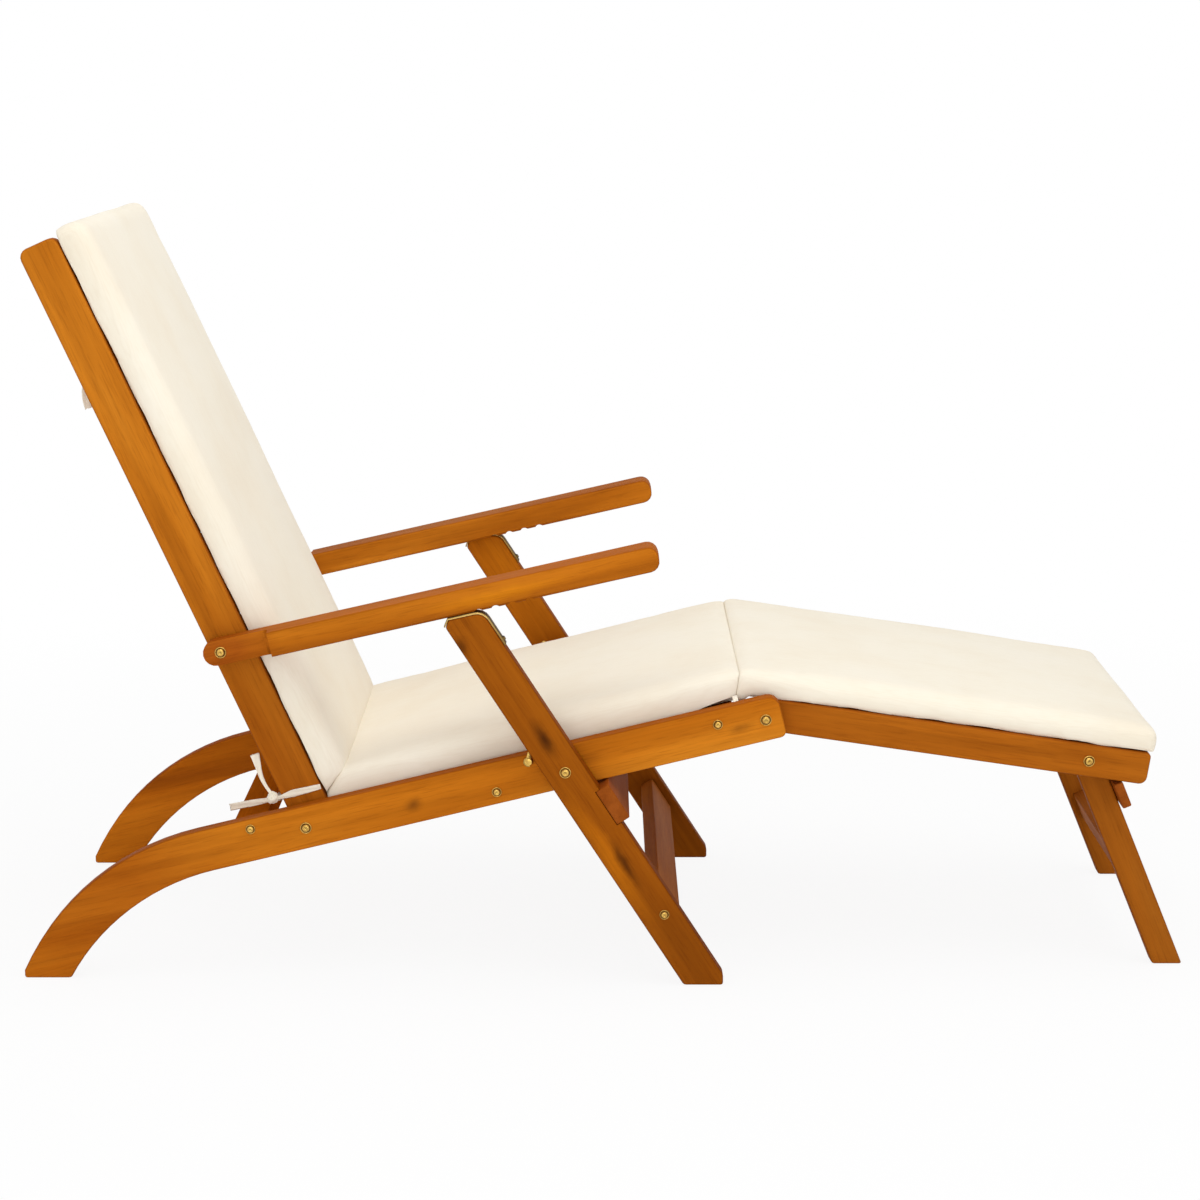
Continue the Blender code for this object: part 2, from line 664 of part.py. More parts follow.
# Front legs
def leg_head_corners():
    """Where the head's top, parallel to the armrest above, meets the leg's rear and front edges."""
    half = LEG_WIDTH / 2
    lean = math.tan(ARM.slope - LEGS.slope - math.pi / 2)
    rear_top = -LEG_HEAD_REACH + half * lean
    front_top = -LEG_HEAD_REACH - half * lean
    return rear_top, front_top


def leg_head_path():
    """The head's edge from the rear edge over the top to the front edge, as local points."""
    half = LEG_WIDTH / 2
    rear_top, front_top = leg_head_corners()
    slope = (front_top - rear_top) / LEG_WIDTH
    chamfer = LEG_HEAD_CHAMFER
    start = (rear_top + chamfer, -half)
    after_chamfer = (rear_top + chamfer * 0.9 * slope, -half + chamfer * 0.9)
    rounded = fillet([(*after_chamfer, 0), (front_top, half, LEG_HEAD_ROUND),
                      (front_top + STRAP_DROP, half, 0)])
    return [start] + rounded


def offset_path(path, distance):
    """The same open path moved sideways by a distance, away from the wood."""
    moved = []
    for index, (x, z) in enumerate(path):
        before = path[max(index - 1, 0)]
        after = path[min(index + 1, len(path) - 1)]
        dx, dz = after[0] - before[0], after[1] - before[1]
        length = math.hypot(dx, dz)
        moved.append((x - dz / length * distance, z + dx / length * distance))
    return moved


def strap_top_in_arm():
    """Where the middle of the strap's top lies, in the armrest's coordinates."""
    return ARM.local(*LEGS.point(-LEG_HEAD_REACH - STRAP_THICKNESS - FIT, 0))


def stop_board_span():
    """Low and high values of the stop board, along and ahead of the leg's axis."""
    rear = LEG_WIDTH / 2 - STOP_BOARD_LET_IN
    front = rear + STOP_BOARD_THICKNESS
    turn = SEAT.slope - LEGS.slope
    top = (RAIL_DEPTH / 2 + FIT + math.cos(turn) * front) / math.sin(turn)
    return (top, top + STOP_BOARD_HEIGHT), (rear, front)


def make_front_legs():
    half = LEG_WIDTH / 2
    heel = on_ground(LEGS, -half)
    toe_top = on_ground(LEGS, half, LEG_TOE_HEIGHT)
    toe = LEGS.local(LEGS.point(*toe_top)[0], 0)
    head = leg_head_path()
    outline = head[:-1] + [toe_top, toe, heel]
    board_along, board_ahead = stop_board_span()
    for label, side in SIDES:
        across = mirrored_span(side, LEG_IN, LEG_OUT)
        leg = profile_board("front_leg_" + label, LEGS, outline, across, WOOD, WOOD_EDGE)
        hole(leg, LEGS, 0, 0, PIVOT_RADIUS, across)
        hole(leg, LEGS, LEG_BAR_ALONG, LEG_BAR_AHEAD, ROD_RADIUS, across)
        rebate = block(leg.name + "_rebate", LEGS, (board_along[0] - FIT, board_along[1] + FIT),
                       mirrored_span(side, LEG_IN - BOARD, LEG_OUT + BOARD),
                       (board_ahead[0] - FIT, board_ahead[1] + BOARD))
        combine(leg, rebate)
        pin_hole = mirrored_span(side, LEG_IN - BOARD / 2, LEG_IN + HOOK_PIN_DEPTH + FIT)
        combine(leg, crosswise_cylinder(leg.name + "_pin_hole", LEGS, -HOOK_PIVOT_UP, -HOOK_PIVOT_BEHIND,
                                        STUD_NECK + FIT, pin_hole))
        pivot_bolt("front_leg_bolt_" + label, LEGS, 0, 0, side, (LEG_OUT, LEG_IN, RAIL_OUT, RAIL_IN))
        make_strap(label, side)


def make_strap(label, side):
    """The brass strap bent over the leg's head, with its fixing screw on the front edge."""
    path = leg_head_path()
    outline = offset_path(path, FIT + STRAP_THICKNESS) + offset_path(path, FIT)[::-1]
    middle = side * (LEG_IN + LEG_OUT) / 2
    across = (middle - STRAP_WIDTH / 2, middle + STRAP_WIDTH / 2)
    strap = profile_board("head_strap_" + label, LEGS, outline, across, BRASS)
    bm = bmesh.new()
    bmesh.ops.create_cone(bm, cap_ends=True, segments=TURN_STEPS, radius1=STUD_HEAD, radius2=STUD_HEAD * 0.5,
                          depth=STRAP_THICKNESS * 2)
    low = leg_head_corners()[1] + STRAP_DROP - STUD_HEAD * 1.6
    place = Matrix.Translation((low, middle, LEG_WIDTH / 2 + FIT + STRAP_THICKNESS * 1.5))
    bmesh.ops.transform(bm, matrix=place, verts=bm.verts)
    screw = add_object(strap.name + "_screw", mesh_from(bm, strap.name + "_screw"), LEGS)
    combine(strap, screw, "UNION")


def make_leg_crossbars():
    reach = LEG_IN - FIT
    half_height, half_thick = LEG_BAR_HEIGHT / 2, CROSSBAR_THICKNESS / 2
    bar = block("front_leg_crossbar", LEGS, (LEG_BAR_ALONG - half_height, LEG_BAR_ALONG + half_height),
                (-reach, reach), (LEG_BAR_AHEAD - half_thick, LEG_BAR_AHEAD + half_thick),
                SHADED_WOOD, SLAT_EDGE)
    hole(bar, LEGS, LEG_BAR_ALONG, LEG_BAR_AHEAD, ROD_RADIUS, (-reach, reach))
    through_rod("front_leg_tie_rod", LEGS, LEG_BAR_ALONG, LEG_BAR_AHEAD, LEG_OUT, ROD_RADIUS, ROD_HEAD_RADIUS)
    along, ahead = stop_board_span()
    block("stop_board", LEGS, along, (-LEG_OUT, LEG_OUT), ahead, SHADED_WOOD, SLAT_EDGE)


# Catch hooks
def make_hooks():
    """A stud on each rail and the flat hook on the leg that catches it."""
    gap_middle = (LEG_IN + RAIL_OUT) / 2
    plate = (gap_middle - HOOK_THICKNESS / 2, gap_middle + HOOK_THICKNESS / 2)
    stud = LEGS.local(*SEAT.point(STUD_ALONG, STUD_ABOVE))
    pivot = (-HOOK_PIVOT_UP, -HOOK_PIVOT_BEHIND)
    reach = math.hypot(stud[0] - pivot[0], stud[1] - pivot[1])
    aim = math.atan2(stud[1] - pivot[1], stud[0] - pivot[0])
    x, z = LEGS.point(*pivot)
    hook_frame = Frame(x, z, math.degrees(LEGS.slope + aim))
    hook_frame.make_empty("hook_axis", LOUNGER)
    mouth = Frame(*hook_frame.point(reach, 0), math.degrees(hook_frame.slope) + HOOK_MOUTH_TURN)
    mouth.make_empty("hook_mouth", LOUNGER)
    shank = HOOK_ARM_WIDTH / 2
    start_eye = math.asin(shank / HOOK_EYE_RADIUS)
    eye = arc((reach, 0), HOOK_EYE_RADIUS, math.pi + start_eye, 3 * math.pi - start_eye, 16)
    heel = arc((0, 0), shank, math.pi / 2, 3 * math.pi / 2, 6)
    head = STUD_HEAD
    for label, side in SIDES:
        across = mirrored_span(side, *plate)
        hook = profile_board("catch_hook_" + label, hook_frame, eye + heel, across, BRASS)
        beyond = (across[0] - BOARD, across[1] + BOARD)
        inside = STUD_NECK + HOOK_SLACK
        combine(hook, crosswise_cylinder(hook.name + "_eye", hook_frame, reach, 0, inside, beyond))
        slot = STUD_NECK + HOOK_SLACK * 0.9
        combine(hook, block(hook.name + "_slot", mouth, (0, HOOK_EYE_RADIUS * 2), beyond, (-slot, slot)))
        pin = crosswise_cylinder(hook.name + "_pin", hook_frame, 0, 0, STUD_NECK,
                                 mirrored_span(side, gap_middle, LEG_IN + HOOK_PIN_DEPTH))
        combine(hook, pin, "UNION")
        neck_end = LEG_IN
        profile = [(0, neck_end + STUD_HEAD_THICKNESS), (head, neck_end + STUD_HEAD_THICKNESS * 0.6),
                   (head, neck_end), (STUD_NECK, neck_end), (STUD_NECK, RAIL_OUT - STUD_DEPTH),
                   (0, RAIL_OUT - STUD_DEPTH)]
        turned("hook_stud_" + label, SEAT, STUD_ALONG, STUD_ABOVE, profile, side, BRASS)


# Footrest
def footrest_boards():
    """Slats of the footrest: name and place along the rails."""
    step = (FOOTREST_SLAT_END - FOOTREST_SLAT_START) / (FOOTREST_SLATS - 1)
    places = [FOOTREST_SLAT_START + step * index for index in range(FOOTREST_SLATS)]
    named = [(f"footrest_slat_{number}", along) for number, along in enumerate(places, 1)]
    return named + [("footrest_end_slat", FOOTREST_END_SLAT)]


def make_footrest():
    half = FOOTREST_DEPTH / 2
    outline = fillet([(-half, -half, half * 0.98), (FOOTREST_LENGTH, -half, FOOTREST_LOW_ROUND),
                      (FOOTREST_LENGTH, half, FOOTREST_TOP_ROUND), (-half, half, half * 0.98)])
    above = (half - SLAT_THICKNESS, half - FIT)
    width = SLAT_WIDTH * 0.9
    for label, side in SIDES:
        across = mirrored_span(side, INNER_IN, INNER_OUT)
        rail = profile_board("footrest_rail_" + label, FOOTREST, outline, across, WOOD, WOOD_EDGE)
        for along in (0, FOOT_PIVOT_ALONG):
            hole(rail, FOOTREST, along, 0, PIVOT_RADIUS, across)
        for name, along in footrest_boards():
            pocket = housing_box(f"{rail.name}_{name}", FOOTREST, along, width, (above[0], above[1] + BOARD),
                                 side, INNER_IN)
            combine(rail, pocket)
        pivot_bolt("footrest_bolt_" + label, FOOTREST, 0, 0, side, (RAIL_OUT, RAIL_IN, INNER_OUT, INNER_IN))
        pivot_bolt("footrest_leg_bolt_" + label, FEET, 0, 0, side, (INNER_OUT, INNER_IN, FOOT_OUT, FOOT_IN))
    for name, along in footrest_boards():
        housed_slat(name, FOOTREST, along, width, above, INNER_IN, WOOD)


def make_footrest_legs():
    half = FOOT_WIDTH / 2
    head = arc((0, 0), half, 3 * math.pi / 2, math.pi / 2, 10)
    outline = head + [on_ground(FEET, half), on_ground(FEET, -half)]
    bar = (FOOT_BAR_ALONG - FOOT_BAR_HEIGHT / 2, FOOT_BAR_ALONG + FOOT_BAR_HEIGHT / 2)
    bar_depth = (-FOOT_BAR_THICKNESS / 2, FOOT_BAR_THICKNESS / 2)
    for label, side in SIDES:
        across = mirrored_span(side, FOOT_IN, FOOT_OUT)
        leg = profile_board("footrest_leg_" + label, FEET, outline, across, WOOD, WOOD_EDGE)
        hole(leg, FEET, 0, 0, PIVOT_RADIUS, across)
        combine(leg, housing_box(leg.name + "_housing", FEET, FOOT_BAR_ALONG, FOOT_BAR_HEIGHT, bar_depth,
                                 side, FOOT_IN))
    reach = FOOT_IN + HOUSING - FIT
    block("footrest_leg_crossbar", FEET, bar, (-reach, reach), bar_depth, SHADED_WOOD, SLAT_EDGE)
    turn = FOOTREST.slope - FEET.slope
    rear = half + FIT
    front = rear + FOOT_STOP_THICKNESS
    top = (FOOTREST_DEPTH / 2 + FIT + math.cos(turn) * front) / math.sin(turn)
    block("footrest_stop", FEET, (top, top + FOOT_STOP_HEIGHT), (-INNER_OUT, INNER_OUT), (rear, front),
          SHADED_WOOD, SLAT_EDGE)


# Cushion
def cushion(name, frame, lengthwise, shape):
    """A padded section: a coarse cage moved by a shape function, then smoothed once."""
    bm = bmesh.new()
    bmesh.ops.create_cube(bm, size=2)
    across = (-0.72, -0.28, 0.28, 0.72)
    for value in lengthwise:
        bmesh.ops.bisect_plane(bm, geom=bm.verts[:] + bm.edges[:] + bm.faces[:], plane_co=(value, 0, 0),
                               plane_no=(1, 0, 0))
    for value in across:
        bmesh.ops.bisect_plane(bm, geom=bm.verts[:] + bm.edges[:] + bm.faces[:], plane_co=(0, value, 0),
                               plane_no=(0, 1, 0))
    bmesh.ops.bisect_plane(bm, geom=bm.verts[:] + bm.edges[:] + bm.faces[:], plane_co=(0, 0, 0),
                           plane_no=(0, 0, 1))
    for vert in bm.verts:
        vert.co = shape(*vert.co)
    obj = add_object(name, mesh_from(bm, name), frame, FABRIC)
    smooth = obj.modifiers.new("stuffing", "SUBSURF")
    smooth.levels = 1
    smooth.render_levels = 1
    return obj


def pillow(s, t):
    """1 in the middle of a cushion, falling to 0 at its edges, for places s and t from -1 to 1."""
    return (1 - abs(s) ** 3) * (1 - abs(t) ** 3)


def half_width(s, r):
    """Half the cushion's width: drawn in between its corners, bulging at mid thickness."""
    return CUSHION_HALF_WIDTH - CUSHION_DRAW_IN * (1 - s * s) + CUSHION_SIDE_BULGE * (1 - abs(r))


def mix(a, b, share):
    return a + (b - a) * share


def back_cushion_shape(s, t, r):
    """The back section lies on the fronts of the stiles; r 1 is the stile side, r -1 the sitter's side."""
    near = -STILE_AHEAD - FIT
    far = near - BACK_CUSHION_EDGE - BACK_CUSHION_CROWN * pillow(s, t)
    above = mix(far, near, (r + 1) / 2)
    crease = BACK.local(*SEAT.point(CUSHION_CREASE, CUSHION_CREASE_ABOVE))
    start = crease[0] + CUSHION_CLEARANCE + 0.55 * (near - above)
    return mix(start, BACK_CUSHION_TOP, (s + 1) / 2), t * half_width(s, r), above


def seat_cushion_shape(s, t, r):
    """The seat section lies between the rails on the slats, and steps up over the front crossbar."""
    lift = CUSHION_SIDE_LIFT * abs(t) ** 6
    front_bar_top = FRONT_BAR_ABOVE + CROSSBAR_THICKNESS / 2 + CUSHION_CLEARANCE
    bottom = (front_bar_top if s > 0.7 else SEAT_TOP + FIT) + lift
    top = SEAT_TOP + SEAT_CUSHION_EDGE + SEAT_CUSHION_RISE * (s + 1) / 2 + SEAT_CUSHION_CROWN * pillow(s, t)
    above = mix(bottom, top, (r + 1) / 2)
    over_crease = max(above - CUSHION_CREASE_ABOVE, 0)
    under_crease = max(CUSHION_CREASE_ABOVE - above, 0)
    start = CUSHION_CREASE + CUSHION_CLEARANCE + 1.05 * over_crease + 0.45 * under_crease
    seam = SEAT.local(*FOOTREST.point(LEG_CUSHION_START, FOOTREST_DEPTH / 2))
    lean = math.tan(SEAT.slope - FOOTREST.slope)
    end = seam[0] - CUSHION_CLEARANCE + lean * (above - seam[1])
    return mix(start, end, (s + 1) / 2), t * half_width(s, r), above


def leg_cushion_shape(s, t, r):
    """The leg section lies on top of the footrest rails."""
    bottom = FOOTREST_DEPTH / 2 + FIT + CUSHION_SIDE_LIFT * 0.3 * abs(t) ** 6
    top = FOOTREST_DEPTH / 2 + LEG_CUSHION_EDGE + LEG_CUSHION_CROWN * pillow(s, t)
    above = mix(bottom, top, (r + 1) / 2)
    return mix(LEG_CUSHION_START, LEG_CUSHION_END, (s + 1) / 2), t * half_width(s, r), above


def make_cushions():
    cushion("back_cushion", BACK, (-0.92, -0.6, -0.2, 0.2, 0.6, 0.92), back_cushion_shape)
    cushion("seat_cushion", SEAT, (-0.88, -0.5, -0.1, 0.3, 0.64, 0.76), seat_cushion_shape)
    cushion("leg_cushion", FOOTREST, (-0.9, -0.5, 0, 0.5, 0.9), leg_cushion_shape)


def ribbon(path, width):
    """The outline of a flat tape along a path."""
    return offset_path(path, width / 2) + offset_path(path, -width / 2)[::-1]


def make_ties():
    """A tape round the foot of each stile, knotted behind it, with two loose tails."""
    along = (TIE_ALONG - TIE_WIDTH / 2, TIE_ALONG + TIE_WIDTH / 2)
    rear = STILE_BEHIND + FIT
    front = -STILE_AHEAD
    outside = (INNER_OUT + FIT, INNER_OUT + FIT + TIE_THICKNESS)
    inside = (INNER_IN - FIT - TIE_THICKNESS, INNER_IN - FIT)
    knot_out = outside[0] + TIE_THICKNESS / 2
    for label, side in SIDES:
        tie = block("cushion_tie_" + label, BACK, along, mirrored_span(side, *outside),
                    (front, rear + TIE_THICKNESS), FABRIC)
        back = block(tie.name + "_back", BACK, along, mirrored_span(side, inside[0], outside[1]),
                     (rear, rear + TIE_THICKNESS))
        inner = block(tie.name + "_inner", BACK, along, mirrored_span(side, *inside),
                      (front, rear + TIE_THICKNESS))
        knot = block(tie.name + "_knot", BACK, (TIE_ALONG - TIE_KNOT / 2, TIE_ALONG + TIE_KNOT / 2),
                     mirrored_span(side, knot_out - TIE_KNOT * 0.6, knot_out),
                     (rear + TIE_THICKNESS / 2, rear + TIE_KNOT))
        soften(knot, TIE_KNOT * 0.25)
        tails = []
        for number, path in enumerate((TIE_TAIL_OUT, TIE_TAIL_UP), 1):
            plane = knot_out - TIE_THICKNESS * 1.6 * number
            across = mirrored_span(side, plane - TIE_THICKNESS, plane)
            tails.append(profile_board(f"{tie.name}_tail_{number}", BACK, ribbon(path, TIE_WIDTH), across))
        for piece in (back, inner, knot, *tails):
            combine(tie, piece, "UNION")


make_axes()
make_seat_rails()
make_seat_crossbars()
make_seat_slats()
make_stiles()
make_back_boards()
make_back_pivot()
make_armrests()
make_front_legs()
make_leg_crossbars()
make_hooks()
make_footrest()
make_footrest_legs()
make_cushions()
make_ties()
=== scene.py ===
import json
import math

import bmesh
import bpy
from mathutils import Matrix, Vector, noise


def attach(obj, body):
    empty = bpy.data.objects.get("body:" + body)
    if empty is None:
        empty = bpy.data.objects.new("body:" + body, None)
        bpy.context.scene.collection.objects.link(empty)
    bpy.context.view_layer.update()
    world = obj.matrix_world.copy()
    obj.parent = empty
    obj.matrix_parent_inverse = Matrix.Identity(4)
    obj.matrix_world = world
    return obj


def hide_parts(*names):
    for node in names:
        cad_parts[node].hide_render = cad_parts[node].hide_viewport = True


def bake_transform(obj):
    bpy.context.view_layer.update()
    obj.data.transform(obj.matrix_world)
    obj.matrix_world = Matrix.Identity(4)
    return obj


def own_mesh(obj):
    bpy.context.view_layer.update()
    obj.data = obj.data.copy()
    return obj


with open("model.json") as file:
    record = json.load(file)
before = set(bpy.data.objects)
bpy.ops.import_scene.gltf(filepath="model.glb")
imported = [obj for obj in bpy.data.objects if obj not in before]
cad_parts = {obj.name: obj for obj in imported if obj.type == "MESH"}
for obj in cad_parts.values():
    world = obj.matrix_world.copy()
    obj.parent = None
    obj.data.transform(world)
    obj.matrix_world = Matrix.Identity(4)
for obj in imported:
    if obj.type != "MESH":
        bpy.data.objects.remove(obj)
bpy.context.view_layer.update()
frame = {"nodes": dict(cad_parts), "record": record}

scene = bpy.context.scene
record = frame["record"]
joints = {joint["name"]: joint for joint in record["behaviour"]["joints"]}
bodyOf = {node: body for body, nodes in record["behaviour"]["bodies"].items() for node in nodes}

# camera: the photograph's side view, a little above the armrests
print("camera")
cameraView = {"place": (-0.0101, -3.7328, 1.1841), "tilt": 78.79, "lens": 84.17, "sensor": 36}
cameraData = bpy.data.cameras.new("viewCamera")
cameraData.lens = cameraView["lens"]
cameraData.sensor_width = cameraView["sensor"]
cameraObject = bpy.data.objects.new("viewCamera", cameraData)
cameraObject.location = cameraView["place"]
cameraObject.rotation_euler = (math.radians(cameraView["tilt"]), 0, 0)
scene.collection.objects.link(cameraObject)
scene.camera = cameraObject

# members of the frame: pivot and slope of each, so pieces can be placed along them
slopes = {"seat": 13.6, "back": 114.2, "arm": 12.8, "leg": -57.26, "footrest": -8.35, "foot": -67.5}
pivots = {"seat": "fold", "back": "fold", "arm": "armrest_fold_right", "leg": "front_leg_fold",
          "footrest": "footrest_tilt", "foot": "footrest_leg_fold"}
weldWithin = 0.00001  # points closer than this are one point


def along(member):
    # matrix from (along, across, above) on a member to the row frame
    x, y, z = joints[pivots[member]]["pos_m"]
    return Matrix.Translation((x, 0, z)) @ Matrix.Rotation(-math.radians(slopes[member]), 4, "Y")


def finishPiece(bm, name, material):
    mesh = bpy.data.meshes.new(name)
    bm.to_mesh(mesh)
    bm.free()
    mesh.shade_smooth()
    piece = bpy.data.objects.new(name, mesh)
    scene.collection.objects.link(piece)
    mesh.materials.append(material)
    return piece


# node helpers
def newMaterial(name):
    material = bpy.data.materials.new(name)
    material.use_nodes = True
    tree = material.node_tree
    return material, tree.nodes, tree.links, tree.nodes["Principled BSDF"]


def mapping(nodes, links, source, rotation=(0, 0, 0), scale=(1, 1, 1), offset=(0, 0, 0)):
    node = nodes.new("ShaderNodeMapping")
    node.inputs["Rotation"].default_value = rotation
    node.inputs["Scale"].default_value = scale
    node.inputs["Location"].default_value = offset
    links.new(source, node.inputs["Vector"])
    return node.outputs["Vector"]


def noiseNode(nodes, links, vector, scale, detail=3, roughness=0.5, distortion=0):
    node = nodes.new("ShaderNodeTexNoise")
    node.inputs["Scale"].default_value = scale
    node.inputs["Detail"].default_value = detail
    node.inputs["Roughness"].default_value = roughness
    node.inputs["Distortion"].default_value = distortion
    links.new(vector, node.inputs["Vector"])
    return node.outputs["Fac"]


def grey(value):
    return (value,) * 3


def ramp(nodes, links, source, stops):
    node = nodes.new("ShaderNodeValToRGB")
    elements = node.color_ramp.elements
    while len(elements) < len(stops):
        elements.new(0.5)
    for element, (position, colour) in zip(elements, stops):
        element.position = position
        element.color = (*colour, 1)
    links.new(source, node.inputs["Fac"])
    return node.outputs["Color"]


def mixColour(nodes, links, share, first, second, blend="MIX"):
    node = nodes.new("ShaderNodeMix")
    node.data_type = "RGBA"
    node.blend_type = blend
    for socket, value in ((node.inputs["Factor"], share), (node.inputs[6], first), (node.inputs[7], second)):
        if isinstance(value, bpy.types.NodeSocket):
            links.new(value, socket)
        else:
            socket.default_value = value if isinstance(value, float) else (*value, 1)
    return node.outputs[2]


def maths(nodes, links, operation, first, second=0.0, third=0.0):
    node = nodes.new("ShaderNodeMath")
    node.operation = operation
    for socket, value in zip(node.inputs, (first, second, third)):
        if isinstance(value, bpy.types.NodeSocket):
            links.new(value, socket)
        else:
            socket.default_value = value
    return node.outputs[0]


def vectorMaths(nodes, links, operation, *values):
    node = nodes.new("ShaderNodeVectorMath")
    node.operation = operation
    for socket, value in zip(node.inputs, values):
        if isinstance(value, bpy.types.NodeSocket):
            links.new(value, socket)
        else:
            socket.default_value = value
    return node.outputs["Value" if operation == "LENGTH" else "Vector"]


def sideways(nodes, links, coordinates):
    # 1 on faces that look to the side of the lounger, 0 on those that look along or up
    facing = nodes.new("ShaderNodeSeparateXYZ")
    links.new(coordinates.outputs["Normal"], facing.inputs[0])
    return maths(nodes, links, "ABSOLUTE", facing.outputs["Y"])


def addBump(nodes, links, shader, height, strength, distance):
    bump = nodes.new("ShaderNodeBump")
    bump.inputs["Strength"].default_value = strength
    bump.inputs["Distance"].default_value = distance
    links.new(height, bump.inputs["Height"])
    links.new(bump.outputs["Normal"], shader.inputs["Normal"])


# acacia: figure, streaks, pores and knots, all drawn out along the board
print("wood")
acaciaLook = {
    "pale": (0.67, 0.235, 0.016), "light": (0.555, 0.168, 0.0080), "mid": (0.465, 0.129, 0.0050),
    "dark": (0.31, 0.078, 0.004), "knot": (0.060, 0.016, 0.003),
    "figureScale": 7.5, "figureStretch": 0.15, "figureTwist": 1.1, "figureStops": (0.27, 0.42, 0.58, 0.76),
    "streakScale": 85, "streakStretch": 0.045, "streakShare": 0.80,
    "streakTones": ((0.32, (0.80, 0.76, 0.70)), (0.66, (1.08, 1.08, 1.08))),
    "poreScale": 620, "poreStretch": 0.05, "poreShare": 0.5,
    "poreTones": ((0.32, (0.72, 0.66, 0.60)), (0.46, (1.0, 1.0, 1.0))),
    "knotSpacing": 4.4, "knotStretch": 0.40, "knotShare": 0.70, "knotStrength": 0.60,
    "knotEye": ((0.015, 1.0), (0.05, 0.45), (0.16, 0.0)),
    # a large knot's or an area's strength, from its middle to its edge
    "knotFade": ((0.10, 1.0), (0.42, 0.62), (0.62, 0.30), (1.0, 0.0)), "areaFade": ((0.3, 1.0), (1.0, 0.0)),
    "wanderScale": 22, "wander": 0.010, "knotWander": 0.006,
    # painted shade on faces that turn away from the side of the lounger, and how it fades out towards the wide
    # sides
    "narrowFaceShade": (0.74, 0.64, 0.50), "narrowFaceShadeFade": ((0.45, 1.0), (0.90, 0.0)),
    "roughness": ((0.3, 0.66), (0.7, 0.54)), "bump": 0.10, "bumpHeight": 0.0006, "shine": 0.03,
}


def greys(stops):
    return [(place, grey(tone)) for place, tone in stops]


def wander(nodes, links, vector, scale, amount):
    # pushes a pattern's coordinates about, so that round marks come out uneven
    push = nodes.new("ShaderNodeTexNoise")
    push.inputs["Scale"].default_value = scale
    push.inputs["Detail"].default_value = 3
    links.new(vector, push.inputs["Vector"])
    centred = vectorMaths(nodes, links, "MULTIPLY_ADD", push.outputs["Color"], grey(amount * 2), grey(-amount))
    return vectorMaths(nodes, links, "ADD", vector, centred)


def spotMask(nodes, links, vector, centre, size, fade):
    # a soft spot round a place on the board
    scale = tuple(1 / value for value in size)
    offset = tuple(-place / value for place, value in zip(centre, size))
    placed = mapping(nodes, links, vector, scale=scale, offset=offset)
    return ramp(nodes, links, vectorMaths(nodes, links, "LENGTH", placed), greys(fade))


def boardCoordinates(nodes, links, place, member):
    # x along the board from its pivot, y across, z above; a board without a member lies across the lounger
    if not member:
        return mapping(nodes, links, place, rotation=(0, 0, -math.pi / 2))
    x, y, z = joints[pivots[member]]["pos_m"]
    slope = math.radians(slopes[member])
    turned = (-(x * math.cos(slope) + z * math.sin(slope)), 0, x * math.sin(slope) - z * math.cos(slope))
    return mapping(nodes, links, place, rotation=(0, slope, 0), offset=turned)


def stretched(nodes, links, vector, share):
    return mapping(nodes, links, vector, scale=(share, 1, 1))


def smallKnots(nodes, links, grown):
    # a few cells of a stretched cell pattern get a dark eye with a soft ring
    look = acaciaLook
    cells = nodes.new("ShaderNodeTexVoronoi")
    cells.inputs["Scale"].default_value = look["knotSpacing"]
    uneven = wander(nodes, links, grown, look["wanderScale"], look["knotWander"])
    links.new(stretched(nodes, links, uneven, look["knotStretch"]), cells.inputs["Vector"])
    chosen = nodes.new("ShaderNodeSeparateColor")
    links.new(cells.outputs["Color"], chosen.inputs["Color"])
    isKnot = maths(nodes, links, "GREATER_THAN", chosen.outputs["Red"], look["knotShare"])
    eye = ramp(nodes, links, cells.outputs["Distance"], greys(look["knotEye"]))
    return maths(nodes, links, "MULTIPLY", maths(nodes, links, "MULTIPLY", eye, isKnot), look["knotStrength"])


